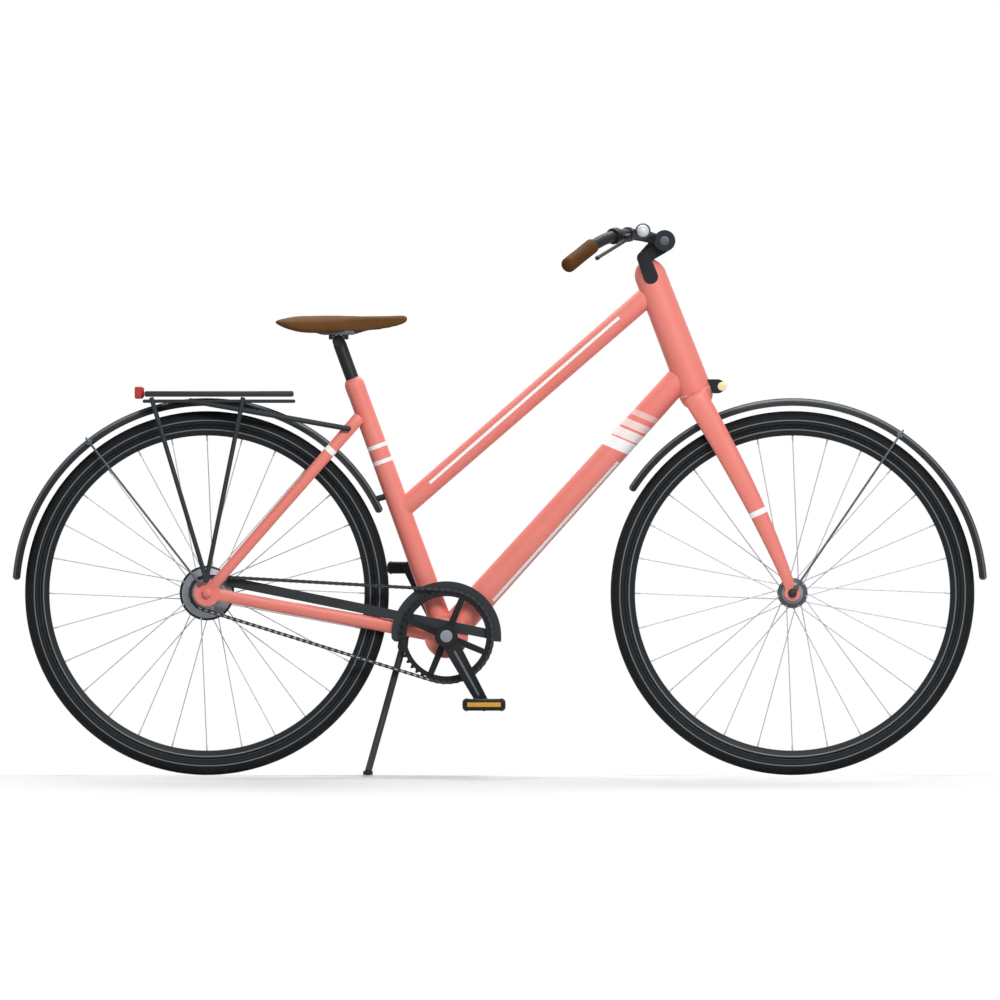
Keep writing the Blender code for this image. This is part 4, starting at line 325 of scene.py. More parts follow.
def leather(name, colour, light, dark):
    """Vegetable-tanned leather: brown with pebbled grain, worn paler on high places and darker in the
    grain's valleys, and a faint waxed sheen."""
    look, tree, place = new_look(name)
    # The grain's pebbles are about 1 mm wide, drawn at 2.6 mm, with pores of 1.6 mm over them
    pebble = 2.6
    pebbles = pebbled(tree, place, pebble, 0.16)
    pores = node(tree, "TexNoise", {"Vector": place, "Scale": per_metre(1.6), "Detail": 3.0})
    values = {"Height": pores.outputs["Fac"], "Distance": 0.00004, "Strength": 1.0, "Normal": pebbles}
    skin = node(tree, "Bump", values).outputs["Normal"]
    # Worn patches as wide as a finger and a half, then the dark valleys, then old stains of a fingertip
    paint = mottled(tree, place, tint(colour), light, 35, 0.35, 0.75, 0.55)
    paint = crazed(tree, place, paint, dark, pebble, 0.05, 0.55)
    paint = mottled(tree, place, paint, dark, 12, 0.55, 0.8, 0.35, 5.0)
    return finished(look, tree, paint, skin, {"Roughness": 0.65, "Specular IOR Level": 0.09})


def lens_plastic(name, colour, deep, prism):
    """Moulded lens plastic over a pattern of prisms: clear gloss outside, small facets within. The prism's
    width is in millimetres."""
    look, tree, place = new_look(name)
    skin = pebbled(tree, place, prism, 0.2)
    paint = crazed(tree, place, tint(colour), deep, prism, 0.12, 0.25)
    return finished(look, tree, paint, skin, {
        "Roughness": 0.12, "Specular IOR Level": 0.3, "Coat Weight": 0.3, "Coat Roughness": 0.05,
    })


# Shapes
def aimed(point, along, level=ACROSS):
    """A place whose z axis follows a direction, with its x axis as near as it gets to level."""
    z = Vector(along).normalized()
    x = (level - z * z.dot(level)).normalized()
    return Matrix.Translation(point) @ Matrix((x, z.cross(x), z)).transposed().to_4x4()


def at_axle(axle):
    """The place of a wheel-like shape: its own z axis across the bike."""
    return aimed(axle, ACROSS, AHEAD)


def seen_from_side(side_y, centre=Vector()):
    """The place of a plate that is drawn in the side view, with its middle that far across."""
    return Matrix.Translation(centre + ACROSS * side_y) @ SIDE_VIEW


def welded(shape):
    bmesh.ops.remove_doubles(shape, verts=shape.verts, dist=WELD)
    bmesh.ops.recalc_face_normals(shape, faces=shape.faces)
    return shape


def placed(shape, place):
    bmesh.ops.transform(shape, matrix=place, verts=shape.verts)
    if place.determinant() < 0:
        bmesh.ops.reverse_faces(shape, faces=shape.faces)
    return shape


def softened(shape, width, angle=35, segments=2):
    """Rounds every edge sharper than the angle, in degrees."""
    limit = math.radians(angle)
    sharp = [edge for edge in shape.edges if len(edge.link_faces) == 2 and edge.calc_face_angle(0.0) > limit]
    bmesh.ops.bevel(
        shape, geom=sharp, offset=width, segments=segments, profile=0.5, affect="EDGES", material=-1,
        clamp_overlap=True,
    )
    return shape


def turned(profile, steps=96, ring=False):
    """Turns a line of (radius, height) points about z."""
    shape = bmesh.new()
    line = [shape.verts.new((radius, 0, height)) for radius, height in profile]
    edges = [shape.edges.new(pair) for pair in zip(line, line[1:])]
    if ring:
        edges.append(shape.edges.new((line[-1], line[0])))
    bmesh.ops.spin(
        shape, geom=line + edges, cent=(0, 0, 0), axis=(0, 0, 1), angle=WHOLE, steps=steps, use_merge=True,
        use_duplicate=False,
    )
    return welded(shape)


def both_sides(half):
    """A profile and its mirror image, for a shape alike on both sides."""
    return half + [(radius, -height) for radius, height in reversed(half)]


def domed(radius, foot, height, degrees):
    """The profile of a dome's side above its foot, at those angles of its rise."""
    turns = [math.radians(angle) for angle in degrees]
    return [(radius * math.cos(turn), foot + height * math.sin(turn)) for turn in turns]


def disc(bore, radius, half, bevel, drop, steps):
    """A disc or drum about z 0, its rims bevelled inwards and down, with a bore unless that is 0."""
    profile = both_sides([(bore, half), (radius - bevel, half), (radius, half - drop)])
    return turned(profile, steps, ring=bore > 0)


def carried(section, frames, sides=None):
    """Carries a closed section through a row of places and closes both ends. The section is a list of
    points, or a circle of that many sides."""
    shape = bmesh.new()
    if sides:
        corners = bmesh.ops.create_circle(shape, segments=sides, radius=1, matrix=frames[0])["verts"]
    else:
        corners = [shape.verts.new(frames[0] @ Vector((*point, 0))) for point in section]
        for pair in zip(corners, corners[1:] + corners[:1]):
            shape.edges.new(pair)
    edges = list(shape.edges)
    bmesh.ops.contextual_create(shape, geom=edges)
    for before, after in zip(frames, frames[1:]):
        made = bmesh.ops.extrude_edge_only(shape, edges=edges)
        corners = {part for part in made["geom"] if isinstance(part, bmesh.types.BMVert)}
        edges = [part for part in made["geom"] if isinstance(part, bmesh.types.BMEdge)]
        edges = [edge for edge in edges if edge.verts[0] in corners and edge.verts[1] in corners]
        bmesh.ops.transform(shape, matrix=after @ before.inverted(), verts=list(corners))
    bmesh.ops.contextual_create(shape, geom=edges)
    return welded(shape)


def swept(stations, sides=24, level=ACROSS, start=0.0, end=0.0):
    """A rod through stations of (middle, half width along level, half height), its ends rounded over the
    lengths start and end."""
    stations = [(Vector(middle), wide, high) for middle, wide, high in stations]
    for length, here, beyond in ((start, 0, 1), (end, -1, -2)):
        if length:
            middle, wide, high = stations[here]
            outward = (middle - stations[beyond][0]).normalized()
            cap = []
            for degrees in (20, 40, 58, 74, 85):
                shrink, reach = math.cos(math.radians(degrees)), length * math.sin(math.radians(degrees))
                cap.append((middle + outward * reach, wide * shrink, high * shrink))
            stations = cap[::-1] + stations if here == 0 else stations + cap
    middles = [middle for middle, _, _ in stations]
    frames = []
    for i, (middle, wide, high) in enumerate(stations):
        along = middles[min(i + 1, len(middles) - 1)] - middles[max(i - 1, 0)]
        frames.append(aimed(middle, along, level) @ Matrix.Diagonal((wide, high, 1, 1)))
    return carried(None, frames, sides)


def rod(points, radius, sides=16, level=ACROSS, start=0.0, end=0.0):
    return swept([(point, radius, radius) for point in points], sides, level, start, end)


def curved(points, pieces=6):
    """A smooth line through the points."""
    points = [Vector(point) for point in points]
    padded = [2 * points[0] - points[1], *points, 2 * points[-1] - points[-2]]
    path = []
    for a, b, c, d in zip(padded, padded[1:], padded[2:], padded[3:]):
        for step in range(pieces):
            t = step / pieces
            bend = (2 * a - 5 * b + 4 * c - d) * t**2 + (3 * b - a - 3 * c + d) * t**3
            path.append(b + ((c - a) * t + bend) / 2)
    return path + [points[-1]]


def arc(radius, start, end, pieces, centre=(0.0, 0.0)):
    turns = (start + (end - start) * i / pieces for i in range(pieces + 1))
    return [(centre[0] + radius * math.cos(turn), centre[1] + radius * math.sin(turn)) for turn in turns]


def capsule(start, end, start_radius, end_radius, pieces=16):
    """The outline round two circles."""
    along = Vector(end) - Vector(start)
    heading = math.atan2(along.y, along.x)
    lean = math.acos((start_radius - end_radius) / along.length)
    outline = arc(end_radius, heading - lean, heading + lean, pieces, end)
    return outline + arc(start_radius, heading + lean, heading + WHOLE - lean, pieces, start)


def plate(outline, thickness, edge=0.0006, segments=2):
    """A flat plate: its outline extruded about z 0, with softened edges."""
    shape = bmesh.new()
    corners = [shape.verts.new((x, y, -thickness / 2)) for x, y in outline]
    for pair in zip(corners, corners[1:] + corners[:1]):
        shape.edges.new(pair)
    bmesh.ops.triangle_fill(shape, edges=shape.edges, use_beauty=True, use_dissolve=False)
    made = bmesh.ops.extrude_face_region(shape, geom=list(shape.faces))
    top = [part for part in made["geom"] if isinstance(part, bmesh.types.BMVert)]
    bmesh.ops.translate(shape, vec=(0, 0, thickness), verts=top)
    welded(shape)
    return softened(shape, edge, 50, segments) if edge else shape


def block(size, edge, segments=3):
    shape = bmesh.new()
    bmesh.ops.create_cube(shape, size=1, matrix=Matrix.Diagonal((*size, 1)))
    return softened(shape, edge, 35, segments)


def from_frame(name, width=0.0):
    """A welded copy of a CAD node's mesh, with its edges softened."""
    shape = bmesh.new()
    shape.from_mesh(frame["nodes"][name].data)
    bmesh.ops.remove_doubles(shape, verts=shape.verts, dist=0.00001)
    bmesh.ops.dissolve_limit(shape, angle_limit=math.radians(1), verts=shape.verts, edges=shape.edges)
    return softened(shape, width, 40) if width else shape


def piece(name, body, shapes, replaces=(), crease=38, weighted=False):
    """Makes one piece of (shape, material) pairs, smooth but for its creases, riding on a body."""
    whole = bmesh.new()
    looks = []
    scratch = bpy.data.meshes.new("scratch")
    for shape, look in shapes:
        if look not in looks:
            looks.append(look)
        for face in shape.faces:
            face.material_index = looks.index(look)
            face.smooth = True
        shape.to_mesh(scratch)
        shape.free()
        whole.from_mesh(scratch)
    bpy.data.meshes.remove(scratch)
    for edge in whole.edges:
        edge.smooth = len(edge.link_faces) == 2 and edge.calc_face_angle(0.0) < math.radians(crease)
    mesh = bpy.data.meshes.new(name)
    whole.to_mesh(mesh)
    whole.free()
    for look in looks:
        mesh.materials.append(look)
    made = bpy.data.objects.new(name, mesh)
    bpy.context.scene.collection.objects.link(made)
    if weighted:
        normals = made.modifiers.new("even_normals", "WEIGHTED_NORMAL")
        normals.keep_sharp = True
    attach(made, body)
    if replaces:
        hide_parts(*replaces)
    return made


# Finishes in use
coral = enamel("stove_enamel_coral")
ACROSS_BANDS = Vector((0.393, 0, 0.919))
coral_down = enamel(
    "stove_enamel_coral_banded",
    [
        (ACROSS_BANDS, 0.6727, 0.0115, 1.0),
        (ACROSS_BANDS, 0.6962, 0.0091, 0.82),
        (ACROSS_BANDS, 0.7178, 0.0077, 0.62),
        (ACROSS_BANDS, 0.7418, 0.0058, 0.4),
    ],
    stripe_between((-0.0127, 0.3341), (0.2274, 0.6007), 0.0026),
)
coral_top = enamel(
    "stove_enamel_coral_pinstriped", (), stripe_between((-0.1343, 0.5602), (0.2289, 0.8778), 0.0028)
)
coral_seat = enamel(
    "stove_enamel_coral_ringed",
    [(SEAT_DIRECTION, on_seat_tube(level).dot(SEAT_DIRECTION), 0.0039, 1.0) for level in (0.3569, 0.3875)],
)
coral_stay = enamel("stove_enamel_coral_stay_band", [(Vector((0.662, 0, 0.749)), 0.2513, 0.0056, 1.0)])
coral_blade = enamel("stove_enamel_coral_blade_band", [(Vector((-0.416, 0, 0.909)), 0.2511, 0.0053, 1.0)])
slate = powder_coat("powder_coat_slate", "2E3337")
rack_coat = powder_coat("powder_coat_rack", "2C3135")
guard_rear = powder_coat("powder_coat_rear_mudguard", "1C2024", REAR_AXLE)
guard_front = powder_coat("powder_coat_front_mudguard", "1C2024", FRONT_AXLE)
black_paint = powder_coat("powder_coat_black", "14181B")
crank_black = powder_coat("anodised_crank_black", "0F1215")
rubber_front = tyre_rubber("vulcanised_rubber_front", FRONT_AXLE)
rubber_rear = tyre_rubber("vulcanised_rubber_rear", REAR_AXLE)
rim_front = rim_alloy("anodised_rim_front", FRONT_AXLE)
rim_rear = rim_alloy("anodised_rim_rear", REAR_AXLE)
front_flange = (FRONT_AXLE, 0.0255, 0.0049, "565C62")
rear_flange = (REAR_AXLE, 0.0505, 0.0024, "202427")
hub_front = blasted_alloy("blasted_alloy_front_hub", "8D949B", 0.45, 0.3, front_flange)
hub_rear = blasted_alloy("blasted_alloy_rear_hub", "989DA4", 0.45, 0.3, rear_flange)
alloy = blasted_alloy("blasted_alloy", "646A71")
dark_alloy = blasted_alloy("blasted_alloy_dark", "525A5F", 0.45, 0.3)
pale_alloy = blasted_alloy("blasted_alloy_pale", "8A9198", 0.5, 0.2)
spoke_steel = drawn_steel("drawn_stainless_spokes", "BCC0C4", 0.45, 0.2)
chain_steel = drawn_steel("blued_steel_chain_plate", "24282C", 0.5, 0.2, "3C4247")
# The dark rivet steel also colours the rollers off the lower run, as painted shade
rivet_and_shaded_roller_steel = drawn_steel("blued_steel_rivet_and_painted_shade_roller", "262A2E", 0.6, 0.0, "3C4247")
roller_steel = drawn_steel("turned_steel_roller", "A9AEB2", 0.4, 0.4)
zinc_steel = drawn_steel("zinc_plated_steel", "8A9097", 0.38, 0.6)
bell_steel = drawn_steel("satin_steel_bell", "CACED6", 0.5, 0.15)
bead_grey = moulded_plastic("reflective_bead_tape", "6C7176")
nylon = moulded_plastic("moulded_nylon_black", "181B1E")
lever_nylon = moulded_plastic("moulded_nylon_lever", "2E3338")
# The seams' thread and piping are so thin that an even fine grain is all that shows on them
thread = moulded_plastic("waxed_linen_thread", "A98858", 0.7)
piping_brown = moulded_plastic("leather_piping", "50341C", 0.6)
saddle_leather = leather("tanned_leather_saddle", "62411F", "6F4C29", "482D16")
grip_leather = leather("tanned_leather_grip", "533314", "5F3D1C", "402610")
amber = lens_plastic("amber_reflector", "DEA322", "C08A1C", 3.2)
red = lens_plastic("red_lens", "CF2B27", "8E1714", 3.6)
cream = lens_plastic("cream_lamp_lens", "F2EFB8", "D8D28E", 3.4)


# Wheels
TREAD_BLOCKS = 320
BEAD_BARS = 690
SPOKES = 28
SPOKE_ANGLE = WHOLE / SPOKES
SPOKE_RADIUS = 0.001
RIM_SEAT = 0.3026


def tyre_shape():
    """A tyre's casing with its tread: a smooth centre rib and two rows of blocks on each side."""
    wall = curved([(0.3178, 0.0098, 0), (0.3205, 0.0138, 0), (0.3243, 0.0174, 0), (0.331, 0.0193, 0),
                   (0.3372, 0.0186, 0), (0.342, 0.0161, 0)], 3)
    half = [(0.3138, 0.0088), (0.3139, 0.0098), *((point.x, point.y) for point in wall)]
    half += [(0.3455, 0.0124), (0.3461, 0.0115), (0.3478, 0.0064), (0.3481, 0.0053), (0.349, 0.0044)]
    profile = half + [(0.349, 0.0)] + [(radius, -height) for radius, height in reversed(half)]
    shape = turned(profile, TREAD_BLOCKS, ring=True)
    blocks = []
    for face in shape.faces:
        middle = face.calc_center_median()
        place = round((math.atan2(middle.y, middle.x) % WHOLE) / WHOLE * TREAD_BLOCKS - 0.5)
        inner_row = 0.0066 < abs(middle.z) < 0.0113 and place % 2 == 1
        outer_row = 0.0126 < abs(middle.z) < 0.0158 and place % 2 == 0
        if math.hypot(middle.x, middle.y) > 0.34 and (inner_row or outer_row):
            blocks.append(face)
    bmesh.ops.inset_individual(shape, faces=blocks, thickness=0.0005, depth=0.0008)
    return shape


def rim_shape():
    half = [(0.302, 0.0), (0.3021, 0.0042), (0.3029, 0.0066), (0.3055, 0.0084), (0.3105, 0.0104),
            (0.313, 0.0114), (0.315, 0.0119), (0.3163, 0.0119), (0.3167, 0.0115), (0.3167, 0.0105),
            (0.3162, 0.0101), (0.3136, 0.0101), (0.3132, 0.0097), (0.3128, 0.006), (0.311, 0.0)]
    return turned(half + [(radius, -height) for radius, height in reversed(half[1:-1])], 192, ring=True)


def bead_tape():
    """The fine slanted bars moulded round both beads of the tyre."""
    shape = bmesh.new()
    bmesh.ops.create_cube(shape, size=1, matrix=Matrix.Diagonal((0.0022, 0.0011, 0.0004, 1)))
    wall_slope = math.atan2(0.004, 0.0027)
    lean = Matrix.Rotation(-wall_slope, 4, "Y") @ Matrix.Rotation(math.radians(24), 4, "Z")
    placed(shape, Matrix.Translation((0.3192, 0, 0.0120)) @ lean)
    bar = list(shape.verts) + list(shape.edges) + list(shape.faces)
    bmesh.ops.spin(
        shape, geom=bar, cent=(0, 0, 0), axis=(0, 0, 1), angle=WHOLE * (BEAD_BARS - 1) / BEAD_BARS,
        steps=BEAD_BARS - 1, use_duplicate=True, use_merge=False,
    )
    bars = list(shape.verts) + list(shape.edges) + list(shape.faces)
    bmesh.ops.mirror(shape, geom=bars, axis="Z", merge_dist=0)
    bmesh.ops.recalc_face_normals(shape, faces=shape.faces)
    return shape


def spoke_line(index, flange_radius, flange_y, steps):
    """Ends of one spoke about its axle: neighbours lean opposite ways, pairs take turns on the flanges."""
    lean = 1 if index % 2 else -1
    side = -1 if (index // 2) % 2 else 1
    angle = QUARTER - index * SPOKE_ANGLE
    hole = flange_radius - 0.00275
    foot = polar(Vector(), hole, angle + lean * steps * SPOKE_ANGLE, side * (flange_y - lean * 0.0011))
    return foot, polar(Vector(), RIM_SEAT, angle, side * 0.0008)


def spoke_shapes(foot, tip):
    """A spoke with its nipple at the rim and its head at the flange."""
    along = (tip - foot).normalized()
    wire = rod([foot - along * 0.001, tip], SPOKE_RADIUS, 8)
    nipple = [(tip - along * 0.011, 0.0012, 0.0012), (tip - along * 0.0104, 0.0016, 0.0016),
              (tip - along * 0.0018, 0.0016, 0.0016), (tip, 0.0022, 0.0022)]
    head = foot + ACROSS * (0.0024 if foot.y > 0 else -0.0024)
    cap = swept([(foot, 0.0011, 0.0011), (head, 0.0019, 0.0019)], 8, UP, 0, 0.0006)
    return [wire, swept(nipple, 8), cap]


def wheel(end, axle, flange_radius, flange_y, steps, hub_half, looks):
    rubber, rim_look, hub_look = looks
    body = end + "_wheel"
    place = at_axle(axle)
    casing, tape, hoop = (placed(shape, place) for shape in (tyre_shape(), bead_tape(), rim_shape()))
    piece(end + "_tyre_casing", body, [(casing, rubber)], [end + "_tyre"], 30)
    piece(end + "_bead_tape", body, [(tape, bead_grey)], ())
    piece(end + "_rim_hoop", body, [(hoop, rim_look)], [end + "_rim"], 30)
    shapes = [(placed(turned(both_sides(hub_half), 72, ring=True), place), hub_look)]
    for index in range(SPOKES):
        foot, tip = spoke_line(index, flange_radius, flange_y, steps)
        shapes += [(shape, spoke_steel) for shape in spoke_shapes(axle + foot, axle + tip)]
    piece(end + "_hub_and_spokes", body, shapes, [end + "_hub"])


front_hub_half = [(0.0053, 0.0383), (0.0195, 0.0385), (0.0204, 0.0381), (0.0212, 0.0372), (0.0282, 0.0332),
                  (0.029, 0.0324), (0.029, 0.0288), (0.0284, 0.0282), (0.021, 0.0266), (0.0156, 0.0232),
                  (0.0145, 0.019)]
rear_hub_half = [(0.0058, 0.0333), (0.0293, 0.0335), (0.03, 0.0331), (0.0318, 0.0318), (0.0512, 0.0313),
                 (0.0525, 0.0304), (0.0525, 0.0276), (0.0515, 0.0268), (0.039, 0.0262), (0.0345, 0.0225),
                 (0.034, 0.019)]
wheel("front", FRONT_AXLE, 0.029, 0.0305, 2, front_hub_half, (rubber_front, rim_front, hub_front))
wheel("rear", REAR_AXLE, 0.0525, 0.029, 1, rear_hub_half, (rubber_rear, rim_rear, hub_rear))


def axle_shapes(axle, radius, nut, outer_y, thick, locknut_y):
    """Axle, washers, domed nuts and locknuts, round dropouts that end at outer_y."""
    gap = 0.0003
    length = outer_y - thick - locknut_y - gap
    washer = [(0, 0), (nut, 0), (nut, 0.0009), (nut - 0.0003, 0.0012), (0, 0.0012)]
    hexagon = [(0, 0.0012), (nut, 0.0012), (nut, 0.0055), (nut * 0.9, 0.0062), (0, 0.0062)]
    dome = [(0, 0.004), *domed(nut * 0.86, 0.005, 0.0032, (0, 30, 60, 90))]
    shapes = [rod([axle - ACROSS * outer_y, axle + ACROSS * outer_y], radius - 0.0002, 24, UP)]
    for side in (1, -1):
        outward = ACROSS * side
        seat = aimed(axle + outward * (outer_y + gap), outward, UP)
        shapes.append(placed(turned(washer, 36), seat))
        shapes.append(placed(softened(turned(hexagon, 6), 0.0003), seat))
        shapes.append(placed(turned(dome, 30), seat))
        locknut = softened(turned([(0, 0), (0.009, 0), (0.009, length), (0, length)], 6), 0.0004)
        shapes.append(placed(locknut, aimed(axle + outward * locknut_y, outward, UP)))
    return shapes


front_nuts = axle_shapes(FRONT_AXLE, 0.0045, 0.0086, FRONT_TIP_OUTER, FRONT_TIP_THICK, 0.0391)
rear_nuts = axle_shapes(REAR_AXLE, 0.005, 0.0095, REAR_DISC_OUTER, REAR_DISC_THICK, 0.0515)
piece("front_axle_and_nuts", "fork", [(shape, slate) for shape in front_nuts], ["front_axle"])
piece("rear_axle_and_nuts", "frame", [(shape, coral) for shape in rear_nuts], ["rear_axle"])


# Frame
def meet(shape, near, point, axis, radius, along):
    """Slides the end of a tube along itself until it lies on a round post, as a coped tube end does."""
    caps = [face for face in shape.faces if len(face.verts) > 4]
    cap = min(caps, key=lambda face: (face.calc_center_median() - near).length)
    bmesh.ops.poke(shape, faces=[cap])
    for corner in shape.verts:
        if (corner.co - near).length < 0.04 and abs((corner.co - near).dot(along)) < 0.0005:
            away = corner.co - point
            away -= axis * away.dot(axis)
            run = along - axis * along.dot(axis)
            a, b, c = run.dot(run), away.dot(run), away.dot(away) - radius**2
            root = math.sqrt(max(b * b - a * c, 0.0))
            first, second = (-b - root) / a, (-b + root) / a
            corner.co += along * (first if abs(first) < abs(second) else second)
    return shape


def tube(start, end, start_radius, end_radius):
    """A straight round tube, in eight lengths so that its shading stays even."""
    stations = []
    for i in range(9):
        radius = start_radius + (end_radius - start_radius) * i / 8
        stations.append((start.lerp(end, i / 8), radius, radius))
    return swept(stations, 48)


def enamelled(name, shapes, replaced, body="frame"):
    piece(name, body, shapes, [replaced])


steer_place = aimed(STEER_FOOT, STEER_UP)
seat_place = aimed(BOTTOM_BRACKET, SEAT_DIRECTION)
head_shell = turned([(0.0325, 0.4303), (0.0325, 0.4312), (0.0305, 0.6393), (0.0305, 0.6402), (0.0265, 0.6402),
                     (0.0265, 0.4303)], 64, ring=True)
enamelled("head_tube_enamelled", [(placed(head_shell, steer_place), coral)], "head_tube")
bracket_shell = placed(disc(0.035, 0.042, 0.0363, 0.0007, 0.0008, 64), at_axle(BOTTOM_BRACKET))
enamelled("bracket_shell_enamelled", [(bracket_shell, coral)], "bottom_bracket_shell")
seat_shell = turned([(0.0211, 0.0385), (0.0188, 0.495), (0.0132, 0.495), (0.0132, 0.0385)], 56, ring=True)
enamelled("seat_tube_enamelled", [(placed(seat_shell, seat_place), coral_seat)], "seat_tube")

down_meets = on_steering(0.4717)
down_along = (down_meets - BOTTOM_BRACKET).normalized()
down_start = BOTTOM_BRACKET + down_along * 0.044
down_end = down_meets - down_along * 0.028
down = tube(down_start, down_end, 0.0283, 0.0243)
meet(down, down_end, STEER_FOOT, STEER_UP, 0.0298, down_along)
meet(down, down_start, BOTTOM_BRACKET, ACROSS, 0.0385, down_along)
enamelled("down_tube_enamelled", [(down, coral_down)], "down_tube")

top_leaves, top_meets = on_seat_tube(0.2562), on_steering(0.6384)
top_along = (top_meets - top_leaves).normalized()
top_start = top_leaves + top_along * 0.018
top_end = top_meets - top_along * 0.029
top = tube(top_start, top_end, 0.0186, 0.0195)
meet(top, top_end, STEER_FOOT, STEER_UP, 0.0285, top_along)
meet(top, top_start, BOTTOM_BRACKET, SEAT_DIRECTION, 0.0192, top_along)
enamelled("top_tube_enamelled", [(top, coral_top)], "top_tube")

clamp_dome = domed(0.0192, 0.017, 0.0192, range(0, 46, 5))
clamp = turned([(0.0192, -0.0002), *clamp_dome, (0.0133, 0.0308), (0.0133, -0.0002)], 56, ring=True)
clamp_place = aimed(on_seat_tube(0.495), SEAT_DIRECTION)
enamelled("seat_clamp_enamelled", [(placed(clamp, clamp_place), coral)], "seat_clamp")

for name, base, radius in (("lower", 0.4271, 0.0325), ("upper", 0.6403, 0.0305)):
    foot, rise = base - 0.0002, base + 0.0033
    cup = turned([(radius - 0.0002, foot), (radius, base), (radius, base + 0.0031),
                  (radius - 0.0002, rise), (0.0147, rise), (0.0147, foot)], 64, ring=True)
    enamelled("headset_cup_" + name, [(placed(cup, steer_place), coral)], f"headset_{name}_bearing")

cover_dome = domed(0.0305, 0.02, 0.034656, range(0, 61, 6))
cover = turned([(0.0145, -0.0002), (0.0302, -0.0002), (0.0305, 0.0), *cover_dome, (0.0, 0.0502)], 64)
cover = placed(cover, aimed(on_steering(0.6437), STEER_UP))
enamelled("head_cover_enamelled", [(cover, coral)], "head_cover", "fork")


def stay(points, foot_deep, more_deep, reach, foot_high, more_high, start, end=0.0):
    """A flattened tube that grows deeper over the first part of its length, and higher all along it."""
    path = curved(points, 8)
    stations = []
    for i, point in enumerate(path):
        share = i / (len(path) - 1)
        deep = foot_deep + more_deep * min(share / reach, 1.0)
        stations.append((point, deep, foot_high + more_high * share))
    return swept(stations, 32, start=start, end=end)


to_stay_top = on_seat_tube(0.4586) - REAR_AXLE
along_stay = TO_BRACKET.normalized()
for name, side in (("right", -1), ("left", 1)):
    dropout = placed(disc(0.0051, 0.0255, REAR_DISC_THICK / 2, 0.001, 0.0008, 64),
                     at_axle(REAR_AXLE + ACROSS * side * REAR_DISC_MIDDLE))
    points = [REAR_AXLE + along_stay * 0.012 + ACROSS * side * REAR_DISC_MIDDLE]
    for share, inward in ((0.36, 0.476), (0.68, 0.871), (0.79, 1.0), (0.914, 1.02)):
        y = REAR_DISC_MIDDLE + (0.0262 - REAR_DISC_MIDDLE) * inward
        points.append(REAR_AXLE + TO_BRACKET * share + ACROSS * side * y)
    lower = stay(points, 0.0024, 0.0048, 0.13, 0.0114, 0.0032, 0.008)
    enamelled(f"chain_stay_{name}_enamelled", [(lower, coral), (dropout, coral)], "chain_stay_" + name)
    points = []
    for share, inward in ((0.012, 0.0), (0.12, 0.03), (0.45, 0.382), (0.8, 0.779), (0.965, 1.0)):
        y = REAR_DISC_MIDDLE + (0.0255 - REAR_DISC_MIDDLE) * inward
        points.append(REAR_AXLE + to_stay_top * share + ACROSS * side * y)
    upper = stay(points, 0.0036, 0.0039, 0.2, 0.0093, 0.0029, 0.007, 0.004)
    enamelled(f"seat_stay_{name}_enamelled", [(upper, coral_stay)], "seat_stay_" + name)


# Fork
CROWN = on_steering(0.4)
BLADE_STATIONS = ((0.0, 0.0236, 0.011), (0.4, 0.0194, 0.01), (0.7, 0.0152, 0.0088), (0.9, 0.0118, 0.0066),
                  (1.0, 0.0103, 0.0029))
BLADE_TOP_Y = 0.037


def blade_size(share):
    """Half height and half width of a blade at a share of its length."""
    for near, far in zip(BLADE_STATIONS, BLADE_STATIONS[1:]):
        if share <= far[0]:
            mix = (share - near[0]) / (far[0] - near[0])
            return [near[size] + (far[size] - near[size]) * mix for size in (1, 2)]


steerer = turned([(0.0125, 0.648), (0.0143, 0.648), (0.0143, 0.4264), (0.0324, 0.4265), (0.0326, 0.4262),
                  *domed(0.0326, 0.4243, -0.0326, range(0, 91, 9))], 64)
crown_bar = disc(0, 0.022, 0.033, 0.0015, 0.0015, 48)
crown_shapes = [(placed(steerer, steer_place), coral), (placed(crown_bar, at_axle(CROWN)), coral)]
enamelled("fork_crown_enamelled", crown_shapes, "fork_steerer", "fork")

# Each blade leaves the crown at one slope and reaches the axle at a steeper one, in a smooth bend
blade_leaves, blade_arrives = math.radians(-59.3), math.radians(-69.4)
first = Vector((math.cos(blade_leaves), 0, math.sin(blade_leaves)))
last = Vector((math.cos(blade_arrives), 0, math.sin(blade_arrives)))
blade_start = on_steering(0.418, -0.0035)
blade_end = FRONT_AXLE - last * 0.009
gap = blade_end - blade_start
bend = blade_start + first * ((gap.x * last.z - gap.z * last.x) / (first.x * last.z - first.z * last.x))
for name, side in (("right", -1), ("left", 1)):
    stations = []
    for i in range(33):
        t = i / 32
        point = blade_start * (1 - t) ** 2 + bend * 2 * t * (1 - t) + blade_end * t**2
        point.y = side * (BLADE_TOP_Y * (1 - t) + FRONT_TIP_MIDDLE * t)
        high, deep = blade_size(t)
        stations.append((point, deep, high))
    blade = swept(stations, 40, start=0.006, end=0.008)
    tip = placed(disc(0.0047, 0.0155, FRONT_TIP_THICK / 2, 0.001, 0.0008, 48),
                 at_axle(FRONT_AXLE + ACROSS * side * FRONT_TIP_MIDDLE))
    shapes = [(blade, coral_blade), (tip, coral)]
    enamelled(f"fork_blade_{name}_enamelled", shapes, "fork_blade_" + name, "fork")


